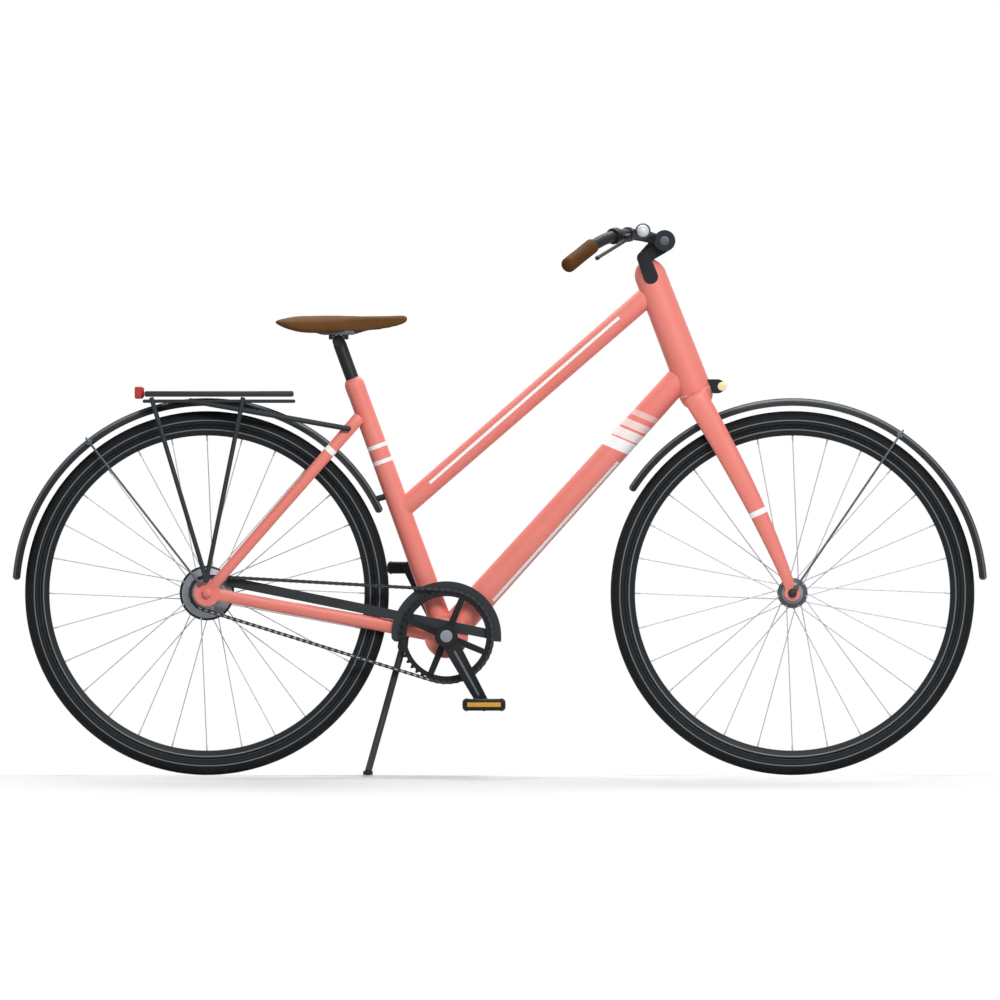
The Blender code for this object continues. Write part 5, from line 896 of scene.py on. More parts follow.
# Stem and bar
BAR_RADIUS = 0.0111
STEM_KNEE = on_steering(0.7024)
column = plate(capsule(flat(on_steering(0.664)), flat(STEM_KNEE), 0.014, 0.013, 24), 0.0622, 0.003, 4)
arm = plate(capsule(flat(STEM_KNEE), flat(BAR_CLAMP), 0.0127, 0.0207, 28), 0.038, 0.0012, 3)
quill = rod([on_steering(0.589), on_steering(0.664)], 0.0124, 32)
bolt = turned([(0, 0.0012), (0.0034, 0.0012), (0.0034, 0.0032), (0.0048, 0.0036), (0.0055, 0.0028),
               (0.0055, 0.0)], 24)
bolt_place = aimed(on_steering(0.7108), STEER_UP)
stem_parts = [placed(column, SIDE_VIEW), placed(arm, SIDE_VIEW), quill, placed(bolt, bolt_place)]
stem_shapes = [(shape, black_paint) for shape in stem_parts]
piece("stem_forged", "fork", stem_shapes, ["stem"], weighted=True)

# The left half of the bar, in millimetres back, out and up from the middle of its clamp
BAR_BENDS = ((0, 31.1, 0), (19, 32.3, 3.6), (30.5, 43, 7.2), (44.7, 71, 10.2), (63.7, 122, 12.2),
             (89.7, 168, 10.7), (113.7, 200, 3.4), (137.7, 228, -9), (187.7, 301, -49))
bar_half = [BAR_CLAMP + Vector((-back, out, up)) / 1000 for back, out, up in BAR_BENDS]
bar_shapes = [(rod([BAR_CLAMP - ACROSS * 0.02, BAR_CLAMP + ACROSS * 0.02], BAR_RADIUS, 32, UP), black_paint)]
for side, way in ((1, Vector), (-1, mirrored)):
    path = [way(point) for point in curved(bar_half[:-1], 8) + [bar_half[-1]]]
    bar_shapes.append((rod(path, BAR_RADIUS, 28, UP), black_paint))
    clamp_end = aimed(BAR_CLAMP + ACROSS * side * 0.0193, ACROSS * side, UP)
    drum = turned([(0, 0.0236), (0.0192, 0.0236), (0.0207, 0.0221), (0.0207, 0.0012), (0.0199, 0.0),
                   (0, 0)], 56)
    bar_shapes.append((placed(drum, clamp_end), black_paint))
    cap = turned([(0, 0.0262), (0.0038, 0.0262), (0.0038, 0.0246), (0.0046, 0.0246), (0.0046, 0.0262),
                  (0.0084, 0.0256), (0.0092, 0.0246), (0.0092, 0.023), (0, 0.023)], 40)
    bar_shapes.append((placed(cap, clamp_end), dark_alloy))
piece("handlebar_swept", "fork", bar_shapes, ["handlebar"])

# Grips, levers and bell
GRIP_LENGTH = 0.096
GRIP_CAP = 0.0055
GRIP_SWELL = ((0.0, 0.0132), (0.012, 0.0142), (0.03, 0.0146), (0.25, 0.0146), (0.5, 0.0143), (0.75, 0.0147),
              (0.95, 0.0147), (1.0, 0.0146))
STITCHES = 24
STITCH_RADIUS = 0.01475
STITCH_PITCH = 0.0035
STITCH_LENGTH = 0.0021


def stitched_seams(place, first):
    """Two rows of stitches along a grip's inner side, from their first stitch on."""
    stitches = []
    for i in range(STITCHES):
        for turn in (math.radians(172), math.radians(188)):
            x, y = STITCH_RADIUS * math.cos(turn), STITCH_RADIUS * math.sin(turn)
            near = first + i * STITCH_PITCH
            ends = [place @ Vector((x, y, reach)) for reach in (near, near + STITCH_LENGTH)]
            stitches.append(swept([(end, 0.0003, 0.0005) for end in ends], 6, UP, 0.0003, 0.0003))
    return stitches


for name, way in (("left", Vector), ("right", mirrored)):
    start, end = (way(point) for point in bar_half[-2:])
    along = (end - start).normalized()
    front = (end - start).length - GRIP_LENGTH
    body = GRIP_LENGTH - GRIP_CAP
    stations = [(start + along * (front + body * share), radius, radius) for share, radius in GRIP_SWELL]
    shapes = [(swept(stations, 40, UP, 0.0012, 0.0084), grip_leather)]
    shapes += [(stitch, thread) for stitch in stitched_seams(aimed(start, along, UP), front + 0.006)]
    made = piece(f"grip_{name}_stitched", "fork", shapes, ["grip_" + name])
for name in ("right", "left"):
    perch, lever = "lever_perch_" + name, "brake_lever_" + name
    piece(perch + "_moulded", "fork", [(from_frame(perch, 0.0006), nylon)], [perch])
    piece(lever + "_moulded", lever, [(from_frame(lever, 0.0006), lever_nylon)], [lever])

# The bell sits on the right half of the bar, its dome outwards
bell_place = aimed(BAR_CLAMP + Vector((-0.0416, -0.15, 0.0188)), -ACROSS, UP)
base = turned([(0, -0.0002), (0.014, -0.0002), (0.0149, 0.0006), (0.0149, 0.0036), (0.0143, 0.0043),
               (0, 0.0043)], 56)
dome = turned([(0.0126, 0.0035), *domed(0.0126, 0.0043, 0.012, range(0, 79, 6)), (0.0024, 0.0161),
               (0.0022, 0.0167), (0, 0.0169)], 56)
piece("bell_domed", "fork", [(from_frame("bell"), slate), (placed(base, bell_place), dark_alloy),
                             (placed(dome, bell_place), bell_steel)], ["bell"])
striker = from_frame("bell_striker", 0.0003)
piece("bell_hammer", "bell_striker", [(striker, nylon)], ["bell_striker"])

# Drive
# The links of the lower run, whose rollers are painted bright as a painted shine while the other links'
# rollers are painted dark as painted shade, and the sizes of the chain's plates and pins
ROLLERS_PAINTED_SHINING = range(24, 61)
PLATE_RADIUS = 0.0036
WAIST_RADIUS = 0.0028
PLATE_THICK = 0.0009
INNER_PLATE = 0.0027
OUTER_PLATE = 0.0036
PIN_LENGTH = 0.0088
# The toothed plates' thickness, and how far their teeth reach in and out from the ring of the pins
TOOTH_PLATE = 0.0024
TOOTH_ROOT = 0.003
TOOTH_TIP = 0.0024


def chain_pins():
    """Every pin from the top of the chainring round its front, back along the lower run, round the sprocket
    and forward again, with the angles of the first pin on the chainring and on the sprocket."""
    lean = math.asin((RING_RADIUS - SPROCKET_RADIUS) / TO_BRACKET.length)
    heading = math.atan2(TO_BRACKET.z, TO_BRACKET.x)
    upper, lower = heading + QUARTER + lean, heading - QUARTER - lean
    run = TO_BRACKET.length * math.cos(lean) / CHAIN_PITCH
    leaves_ring = RING_TEETH * (math.pi + 2 * lean) / WHOLE
    meets_sprocket = leaves_ring + run
    leaves_sprocket = meets_sprocket + SPROCKET_TEETH * (math.pi - 2 * lean) / WHOLE
    ring_below, ring_above = (polar(BOTTOM_BRACKET, RING_RADIUS, angle) for angle in (lower, upper))
    sprocket_below, sprocket_above = (polar(REAR_AXLE, SPROCKET_RADIUS, angle) for angle in (lower, upper))
    pins = []
    for at in range(CHAIN_LINKS):
        if at < leaves_ring:
            pins.append(polar(BOTTOM_BRACKET, RING_RADIUS, upper - at * WHOLE / RING_TEETH))
        elif at < meets_sprocket:
            pins.append(ring_below.lerp(sprocket_below, (at - leaves_ring) / run))
        elif at < leaves_sprocket:
            angle = lower - (at - meets_sprocket) * WHOLE / SPROCKET_TEETH
            pins.append(polar(REAR_AXLE, SPROCKET_RADIUS, angle))
        else:
            pins.append(sprocket_above.lerp(ring_above, (at - leaves_sprocket) / run))
    first_on_sprocket = math.ceil(meets_sprocket) - meets_sprocket
    return pins, upper, lower - first_on_sprocket * WHOLE / SPROCKET_TEETH


pins, ring_phase, sprocket_phase = chain_pins()
chain_shapes = []
for i, (spot, after) in enumerate(zip(pins, pins[1:] + pins[:1])):
    here, far = Vector(flat(spot)), Vector(flat(after))
    waist = here.lerp(far, 0.5)
    reach = OUTER_PLATE if i % 2 else INNER_PLATE
    for side in (-1, 1):
        place = seen_from_side(side * reach - CHAIN_LINE)
        for end in (here, far):
            half_link = plate(capsule(end, waist, PLATE_RADIUS, WAIST_RADIUS, 5), PLATE_THICK, 0.0)
            chain_shapes.append((placed(half_link, place), chain_steel))
    # Rollers on the lower run get bright steel, a painted shine; the others get the dark rivet steel, painted
    # shade
    roller_painted_light = roller_steel if i in ROLLERS_PAINTED_SHINING else rivet_and_shaded_roller_steel
    for middle, long, high, look in ((here, 0.08, 0.0011, rivet_and_shaded_roller_steel), (waist, 0.18, 0.0012, roller_painted_light)):
        along = (far - here) * long
        mark = plate(capsule(middle - along, middle + along, high, high * 0.99, 3), PIN_LENGTH, 0.0)
        chain_shapes.append((placed(mark, seen_from_side(-CHAIN_LINE)), look))
piece("chain_linked", "frame", chain_shapes, ["chain"])


def toothed(teeth, pitch_radius, bore, phase):
    """A sprocket plate: one tooth turned round, filled to its bore, and given its thickness."""
    shape = bmesh.new()
    step = WHOLE / teeth
    root, tip = pitch_radius - TOOTH_ROOT, pitch_radius + TOOTH_TIP
    half_tooth = ((0.5, 0.1), (0.34, 0.0), (0.24, 0.45), (0.15, 0.85), (0.07, 1.0))
    line = []
    for share, lift in [(-share, lift) for share, lift in half_tooth] + list(reversed(half_tooth)):
        angle = phase + step * (share + 0.5)
        radius = root + (tip - root) * lift - (0.0006 if abs(share) == 0.5 else 0)
        line.append(shape.verts.new((radius * math.cos(angle), radius * math.sin(angle), 0)))
    edges = [shape.edges.new(pair) for pair in zip(line, line[1:])]
    bmesh.ops.spin(
        shape, geom=line + edges, cent=(0, 0, 0), axis=(0, 0, 1), angle=WHOLE - step, steps=teeth - 1,
        use_duplicate=True,
    )
    bmesh.ops.remove_doubles(shape, verts=shape.verts, dist=0.00001)
    bmesh.ops.create_circle(shape, segments=teeth * 2, radius=bore)
    bmesh.ops.triangle_fill(shape, edges=shape.edges, use_beauty=True)
    made = bmesh.ops.extrude_face_region(shape, geom=list(shape.faces))
    top = [part for part in made["geom"] if isinstance(part, bmesh.types.BMVert)]
    bmesh.ops.translate(shape, vec=(0, 0, TOOTH_PLATE), verts=top)
    bmesh.ops.translate(shape, vec=(0, 0, -TOOTH_PLATE / 2), verts=shape.verts)
    return softened(welded(shape), 0.0003, 50, 1)


ring = toothed(RING_TEETH, RING_RADIUS, 0.0767, ring_phase)
placed(ring, seen_from_side(-CHAIN_LINE, BOTTOM_BRACKET))
piece("chainring_toothed", "crankset", [(ring, crank_black)], ["chainring"])
teeth = toothed(SPROCKET_TEETH, SPROCKET_RADIUS, 0.012, sprocket_phase)
placed(teeth, seen_from_side(-CHAIN_LINE, REAR_AXLE))
sleeve = turned([(0.0058, -0.0338), (0.0175, -0.0338), (0.018, -0.0343), (0.018, -0.0501), (0.0174, -0.0506),
                 (0.0058, -0.0506)], 40, ring=True)
sprocket_shapes = [(teeth, zinc_steel), (placed(sleeve, at_axle(REAR_AXLE)), zinc_steel)]
piece("sprocket_toothed", "sprocket", sprocket_shapes, ["sprocket"])


# How far the cranks' middles and outer faces, the spider and the pedals' middles lie from the bike's middle
CRANK_MIDDLE = 0.07125
CRANK_FACE = 0.0781
SPIDER_MIDDLE = 0.0506
PEDAL_MIDDLE = 0.129
SPIDER_ANGLE = math.radians(67.4)


def crank(name, side, to_pedal, boss_inner):
    """A forged crank arm on its boss, with its cap, a thin pale strip along the arm's face that is a painted
    highlight, and the pedal's axle and nut.
    """
    outward = ACROSS * side
    bracket_seat = aimed(BOTTOM_BRACKET, outward, UP)
    arm = plate(capsule((0, 0), flat(to_pedal), 0.0165, 0.0114, 24), 0.0135, 0.0026, 4)
    boss = turned([(0, 0.0795), (0.0207, 0.0795), (0.0219, 0.0783), (0.0219, boss_inner + 0.0008),
                   (0.0212, boss_inner), (0, boss_inner)], 56)
    cap = turned([(0, 0.0806), (0.0108, 0.0804), (0.0117, 0.0798), (0.0119, 0.0785), (0, 0.0785)], 48)
    reach = to_pedal.normalized()
    # A thin pale strip on the arm's outer face, not a groove: a painted highlight along the arm
    groove = plate(capsule(flat(reach * 0.034), flat(reach * 0.128), 0.0021, 0.002, 8), 0.0006, 0.0)
    eye = BOTTOM_BRACKET + to_pedal
    axle = rod([eye + outward * 0.071, eye + outward * 0.1595], 0.0063, 24, UP)
    nut = softened(turned([(0, 0.0), (0.0086, 0.0), (0.0086, 0.003), (0, 0.003)], 6), 0.0004)
    shapes = [
        (placed(arm, seen_from_side(side * CRANK_MIDDLE, BOTTOM_BRACKET)), crank_black),
        (placed(boss, bracket_seat), crank_black),
        (placed(cap, bracket_seat), pale_alloy),
        # The pale strip, a painted highlight
        (placed(groove, seen_from_side(side * CRANK_FACE, BOTTOM_BRACKET)), alloy),
        (axle, zinc_steel),
        (placed(nut, aimed(eye + outward * CRANK_FACE, outward, UP)), zinc_steel),
    ]
    if side < 0:
        for i in range(4):
            leg_end = polar(Vector(), 0.074, SPIDER_ANGLE + i * QUARTER)
            leg = plate(capsule((0, 0), flat(leg_end), 0.0066, 0.006, 12), 0.0042, 0.0012, 3)
            shapes.append((placed(leg, seen_from_side(-SPIDER_MIDDLE, BOTTOM_BRACKET)), crank_black))
    piece(f"crank_{name}_forged", "crankset", shapes, ["crank_" + name], weighted=True)


def pedal(name, side, centre):
    """A pedal's cage with its studs, an amber reflector in a tray on its outer face, and two on its ends."""
    outer = centre + ACROSS * side * 0.047
    tray = placed(block((0.0672, 0.0016, 0.0102), 0.0007), Matrix.Translation(outer))
    reflector = block((0.0648, 0.0016, 0.0088), 0.0007)
    placed(reflector, Matrix.Translation(outer + ACROSS * side * 0.0004))
    shapes = [(from_frame("pedal_" + name, 0.0008), nylon), (tray, nylon), (reflector, amber)]
    for end in (-1, 1):
        place = Matrix.Translation(centre + AHEAD * end * 0.0409)
        shapes.append((placed(block((0.0014, 0.064, 0.0096), 0.0006), place), amber))
    for face in (-1, 1):
        for x in (-0.033465, 0.0, 0.033465):
            for y in (-0.02175, -0.00725, 0.00725, 0.02175):
                place = Matrix.Translation(centre + Vector((x, y, face * 0.0117)))
                shapes.append((placed(block((0.0046, 0.0085, 0.0012), 0.0004, 1), place), nylon))
    piece(f"pedal_{name}_moulded", "pedal_" + name, shapes, ["pedal_" + name])


for name, side, to_pedal, boss_inner in (("right", -1, TO_PEDAL, 0.0485), ("left", 1, -TO_PEDAL, 0.0588)):
    crank(name, side, to_pedal, boss_inner)
    pedal(name, side, BOTTOM_BRACKET + to_pedal + ACROSS * side * PEDAL_MIDDLE)

# The spindle is shown as the CAD model has it, in zinc-plated steel
spindle = frame["nodes"]["crank_spindle"].data
spindle.materials.clear()
spindle.materials.append(zinc_steel)
cartridge = turned(both_sides([(0.0098, 0.0361), (0.0345, 0.0361), (0.0351, 0.0357), (0.0351, 0.0285),
                               (0.0343, 0.0279), (0.0155, 0.0279)]), 64, ring=True)
piece("bracket_cartridge_turned", "frame", [(placed(cartridge, at_axle(BOTTOM_BRACKET)), coral)],
      ["bottom_bracket_cartridge"])

# The chain guard is a half ring over the chainring, with a rounded rear end and a long bar to the hub
GUARD_FRONT = math.radians(-6)
GUARD_OUTER, GUARD_INNER = 0.1055, 0.0845
GUARD_MIDDLE = 0.0383
end_radius, end_middle = (GUARD_OUTER - GUARD_INNER) / 2, (GUARD_OUTER + GUARD_INNER) / 2
outline = arc(GUARD_OUTER, GUARD_FRONT, math.pi, 64)
outline += arc(end_radius, math.pi, WHOLE, 12, (-end_middle, 0.0))[1:-1]
outline += arc(GUARD_INNER, math.pi, GUARD_FRONT, 64)
bar_slope = math.tan(math.radians(11.4))
bar_ends = [(x, 0.0208 - x * bar_slope) for x in (-0.4127, 0.0935)]
guard_place = seen_from_side(-GUARD_MIDDLE, BOTTOM_BRACKET)
guard_shapes = [(placed(plate(outline, 0.003, 0.0009), guard_place), slate),
                (placed(plate(capsule(*bar_ends, 0.0093, 0.00929, 14), 0.0029, 0.0009), guard_place), slate)]
piece("chain_guard_pressed", "frame", guard_shapes, ["chain_guard"], weighted=True)

# Mudguards and stays. Towards its ends a mudguard's section shrinks, by these degrees and shares
GUARD_RADIUS = 0.3725
SECTION_MIDDLE = 0.3668
END_ROUNDING = ((0.35, 0.93), (0.65, 0.75), (0.85, 0.52), (0.95, 0.3))


def mudguard_shape(axle, start, end):
    """A rolled strip round the wheel with beaded edges, its ends rounded. Its angles are in degrees."""
    skin = curved([(0.3602, 0.0240, 0), (0.3665, 0.0196, 0), (0.3715, 0.0135, 0), (0.3738, 0.0065, 0),
                   (0.374, 0, 0)], 4)
    outer = [(0.3592, 0.0226), (0.3590, 0.0236), (0.3594, 0.0242), *((point.x, point.y) for point in skin)]
    inner = [(0.3718, 0.0), (0.3714, 0.0062), (0.3692, 0.0125), (0.3645, 0.0182), (0.3598, 0.0222)]
    section = outer + [(radius, -y) for radius, y in reversed(outer[:-1])]
    section += [(radius, -y) for radius, y in reversed(inner)] + inner[1:]
    middle = Matrix.Translation((SECTION_MIDDLE, 0, 0))
    stations = [(start - lift, size) for lift, size in reversed(END_ROUNDING)]
    stations += [(start + (end - start) * i / 90, 1.0) for i in range(91)]
    stations += [(end + lift, size) for lift, size in END_ROUNDING]
    frames = []
    for angle, size in stations:
        turn = Matrix.Translation(axle) @ SIDE_VIEW @ Matrix.Rotation(math.radians(angle), 4, "Z")
        shrink = middle @ Matrix.Diagonal((size, 1, size, 1)) @ middle.inverted()
        frames.append(turn @ shrink @ SIDE_VIEW)
    return carried(section, frames)


rear_guard = mudguard_shape(REAR_AXLE, 25.9, 175.1)
lug_ends = [polar(REAR_AXLE, GUARD_RADIUS, math.radians(29)), on_seat_tube(0.2855) - AHEAD * 0.0185]
rear_shapes = [(rear_guard, guard_rear), (rod(lug_ends, 0.006, 20), guard_rear)]
piece("rear_mudguard_rolled", "frame", rear_shapes, ["rear_mudguard"])
to_crown = (CROWN - FRONT_AXLE).normalized()
front_guard = mudguard_shape(FRONT_AXLE, 4.9, 146.7)
lug_ends = [FRONT_AXLE + to_crown * GUARD_RADIUS, CROWN - to_crown * 0.02]
front_shapes = [(front_guard, guard_front), (rod(lug_ends, 0.007, 20), guard_front)]
piece("front_mudguard_rolled", "fork", front_shapes, ["front_mudguard"])


def wire_points(axle, angle, plate_radius, plate_y):
    """A wire stay's bends: out from the dropout, past the tyre and over the mudguard, and back again."""
    # How far the wire's middle lies off the mudguard's skin, and how that skin slopes at its edge
    gap = 0.0026
    slope = math.atan2(0.011, 0.0142)
    half = [(plate_radius - 0.0045, plate_y + gap), (plate_radius + 0.0023, plate_y + gap),
            (0.3478, 0.024 + gap + 0.0024), (0.3598 + gap * math.sin(slope), 0.024 + gap * math.cos(slope)),
            (0.374 + gap, 0.013 + gap * math.tan(math.pi / 4 - slope / 2))]
    return [polar(axle, radius, angle, y) for radius, y in both_sides(half)]


def wire_stay(end, body, axle, angle, plate_radius, plate_y):
    """A mudguard's wire stay with its eyes at the dropouts and its clips on the mudguard."""
    level = Vector((-math.sin(angle), 0, math.cos(angle)))
    shapes = [rod(wire_points(axle, angle, plate_radius, plate_y), 0.0022, 12, level, 0.0015, 0.0015)]
    for side in (1, -1):
        eye = turned([(0, 0.0), (0.0052, 0.0), (0.0052, 0.0034), (0.0045, 0.0042), (0, 0.0042)], 24)
        eye_spot = polar(axle, plate_radius - 0.003, angle, side * (plate_y + 0.0003))
        shapes.append(placed(eye, aimed(eye_spot, ACROSS * side, UP)))
        along_wire = Matrix.Rotation(QUARTER - angle, 4, "Y") @ Matrix.Rotation(side * 0.66, 4, "X")
        clip_place = Matrix.Translation(polar(axle, 0.366, angle, side * 0.0236)) @ along_wire
        shapes.append(placed(block((0.012, 0.0018, 0.007), 0.0006), clip_place))
    piece(end + "_mudguard_wire", body, [(shape, dark_alloy) for shape in shapes], [end + "_mudguard_stay"])


wire_stay("rear", "frame", REAR_AXLE, math.radians(128), 0.0255, REAR_DISC_OUTER)
wire_stay("front", "fork", FRONT_AXLE, math.radians(55.8), 0.0155, FRONT_TIP_OUTER)

# Rack and tail light
RAIL_Z = 0.717
RAIL_Y = 0.05
STRUT_TOP_Z = 0.7236
LUG_Y = 0.0786
deck = from_frame("rack_deck", 0.0012)
piece("rack_deck_coated", "frame", [(deck, rack_coat)], ["rack_deck"])
rail = [Vector((DECK_REAR + x, y, RAIL_Z)) for x, y in (
    (0, -0.038), (0.0008, -0.044), (0.004, -RAIL_Y), (0.2827, -RAIL_Y), (0.2859, -0.044), (0.2867, -0.038))]
loop = rail + [mirrored(point) for point in reversed(rail)]
rack_shapes = [rod(loop + [loop[0]], 0.00335, 20, UP)]
for side in (-1, 1):
    lug = polar(REAR_AXLE, 0.0255, math.radians(93), side * LUG_Y)
    for reach in (0.0135, 0.1895):
        strut_top = Vector((DECK_REAR + reach, side * RAIL_Y, STRUT_TOP_Z))
        strut = rod([lug, lug.lerp(strut_top, 0.5), strut_top], 0.0045, 20, ACROSS, 0.003, 0.001)
        rack_shapes.append(strut)
    rack_shapes.append(placed(disc(0, 0.0062, 0.0046, 0.001, 0.001, 32), at_axle(lug)))
    on_stay = REAR_AXLE + to_stay_top * 0.905 + ACROSS * side * 0.0435
    front_stay = [Vector((DECK_REAR + 0.088, side * RAIL_Y, 0.718)), on_stay]
    rack_shapes.append(rod(front_stay, 0.0051, 20, ACROSS, 0.003, 0.003))
for reach in (0.03, 0.1433, 0.255):
    ends = [Vector((DECK_REAR + reach, y, RAIL_Z)) for y in (-RAIL_Y, RAIL_Y)]
    rack_shapes.append(rod(ends, 0.0028, 14, UP))
rack_shapes = [(shape, rack_coat) for shape in rack_shapes]
piece("rack_rails_and_struts", "frame", rack_shapes, ["rack_frame"])

TAIL_LIGHT = Vector((DECK_REAR, 0, 0.73335))
housing = block((0.0055, 0.056, 0.0177), 0.0011)
placed(housing, Matrix.Translation(TAIL_LIGHT - AHEAD * 0.00305))
piece("tail_light_case", "frame", [(housing, nylon)], ["tail_light_housing"], weighted=True)
lens = block((0.0168, 0.062, 0.0237), 0.0036, 4)
placed(lens, Matrix.Translation(TAIL_LIGHT - AHEAD * 0.0102))
piece("tail_light_lens_moulded", "frame", [(lens, red)], ["tail_light_lens"], weighted=True)

# Headlight: its case's rear edges lie along the head tube
CASE_HALF = 0.0136
CASE_STANDS_OFF = 0.031
lens_centre = on_steering(0.4186, 0.0517)
low, high = lens_centre.z - CASE_HALF, lens_centre.z + CASE_HALF
rear = []
for z in (low, high):
    rear.append(STEER_FOOT.x + (CASE_STANDS_OFF - (z - STEER_FOOT.z) * STEER_FORWARD.z) / STEER_FORWARD.x)
nose = arc(CASE_HALF, -QUARTER, QUARTER, 24, (lens_centre.x + 0.0051 - CASE_HALF, lens_centre.z))
case = placed(plate([(rear[0], low), *nose, (rear[1], high)], 0.03, 0.004, 4), SIDE_VIEW)
piece("headlight_case", "fork", [(case, nylon)], ["headlight_housing"], weighted=True)
glass_half = [(0, 0.0158), (0.004, 0.0157), (0.0075, 0.0153), (0.0089, 0.0147), (0.0092, 0.0138)]
glass = turned(both_sides(glass_half), 48)
piece("headlight_lens_moulded", "fork", [(placed(glass, at_axle(lens_centre)), cream)], ["headlight_lens"])

# Seatpost, clamp and rails
RAIL_CENTRE_Z = 0.848485
post = rod([on_seat_tube(0.295), on_seat_tube(0.5965)], 0.0127, 40, ACROSS, 0.0, 0.006)
head = placed(disc(0, 0.012, 0.014, 0.0008, 0.0008, 40), at_axle(POST_HEAD))
piece("seatpost_drawn", "seatpost", [(post, black_paint), (head, black_paint)], ["seatpost"])
clamp_shapes = [(from_frame("saddle_clamp", 0.0004), black_paint)]
for side in (-1, 1):
    ends = [(POST_HEAD.x + x, 0.8481) for x in (-0.0288, 0.0268)]
    cheek = plate(capsule(*ends, 0.0041, 0.00409, 10), 0.003, 0.0008)
    clamp_shapes.append((placed(cheek, seen_from_side(side * 0.0295)), dark_alloy))
piece("saddle_clamp_forged", "saddle", clamp_shapes, ["saddle_clamp"])
rail_half = [POST_HEAD + Vector((x, y, z + RAIL_CENTRE_Z - POST_HEAD.z)) for x, y, z in (
    (-0.0766, -0.03, 0.0115), (-0.0586, -0.025, 0.007), (-0.034, -0.022, 0.0), (0.03, -0.022, 0.0),
    (0.0625, -0.009, 0.01), (0.0705, -0.004, 0.0105))]
rail_line = rail_half + [mirrored(point) for point in reversed(rail_half)]
rails = rod(rail_line, 0.0034, 16, UP)
piece("saddle_rails_bent", "saddle", [(rails, black_paint)], ["saddle_rails"])

# Saddle: its side outlines run from the rear end, as a share of the length, with heights in millimetres
SADDLE_REAR, SADDLE_LENGTH = -0.4336, 0.2577
SADDLE_STEPS = 40
SEAM_REAR, SEAM_LENGTH = -0.4296, 0.2531
SADDLE_TOP = curved([(0, 871.2, 0), (0.05, 876, 0), (0.1, 878.2, 0), (0.2, 880, 0), (0.35, 880, 0),
                     (0.5, 880, 0), (0.7, 880.4, 0), (0.85, 880.8, 0), (0.94, 882.2, 0), (0.98, 882.8, 0),
                     (1, 882, 0)], 8)
SADDLE_LIP = curved([(0, 867, 0), (0.05, 860, 0), (0.1, 854.6, 0), (0.2, 848.2, 0), (0.3, 846.7, 0),
                     (0.4, 846.9, 0), (0.5, 847.2, 0), (0.62, 847.8, 0), (0.72, 849.9, 0), (0.85, 854.9, 0),
                     (0.94, 860.6, 0), (0.98, 864.2, 0), (1, 868, 0)], 8)


def height_at(line, share):
    """The height of one of the saddle's outlines at a share of its length, in metres."""
    for near, far in zip(line, line[1:]):
        if share <= far.x:
            return (near.y + (far.y - near.y) * (share - near.x) / (far.x - near.x)) / 1000
    return line[-1].y / 1000


def saddle_half(share):
    """Half the saddle's width: broad at the rear, then a narrow nose, both ends rounded."""
    tail = max(0.0, (0.12 - share) / 0.12)
    nose = max(0.0, (share - 0.9) / 0.1)
    half = 0.021 + 0.065 / (1 + math.exp((share - 0.42) * 11))
    return half * math.sqrt(1 - 0.62 * tail**2) * math.sqrt(1 - 0.72 * nose**2)


def saddle_section(share):
    """Half a section as (distance from the middle, height): over the top, round the lip, and up into the
    hollow that leaves room for the rails."""
    half = saddle_half(share) - 0.0015
    top, lip = height_at(SADDLE_TOP, share) - 0.001, height_at(SADDLE_LIP, share) + 0.0008
    depth = top - lip
    groove = 0.0035 * math.exp(-(((share - 0.4) / 0.22) ** 4))
    hollow = min(0.03, half * 0.7) / half
    roof = max(0.8545, lip + 0.002) if 0.08 < share < 0.76 else lip + min(0.003, depth * 0.3)
    outside = [(0.1, top - groove), (0.2, top - groove * 0.3), (0.42, top), (0.62, top - depth * 0.03),
               (0.8, top - depth * 0.12), (0.93, top - depth * 0.3), (1.0, top - depth * 0.55),
               (0.985, top - depth * 0.8), (0.94, lip)]
    inside = [(hollow + 0.12, lip + 0.0004), (hollow + 0.02, lip + (roof - lip) * 0.4), (hollow, roof),
              (hollow * 0.4, roof)]
    return [(y * half, z) for y, z in outside + inside]


def saddle_cage():
    """The cushion before it is stuffed: rings of the saddle's sections, bridged and closed at both ends."""
    shape = bmesh.new()
    loops = []
    for step in range(SADDLE_STEPS + 1):
        ring = saddle_section(step / SADDLE_STEPS)
        ring += [(-y, z) for y, z in reversed(ring)]
        x = SADDLE_REAR + SADDLE_LENGTH * step / SADDLE_STEPS
        corners = [shape.verts.new((x, y, z)) for y, z in ring]
        loops.append([shape.edges.new(pair) for pair in zip(corners, corners[1:] + corners[:1])])
    for near, far in zip(loops, loops[1:]):
        bmesh.ops.bridge_loops(shape, edges=near + far)
    for loop in (loops[0], loops[-1]):
        bmesh.ops.contextual_create(shape, geom=loop)
    bmesh.ops.recalc_face_normals(shape, faces=shape.faces)
    return shape


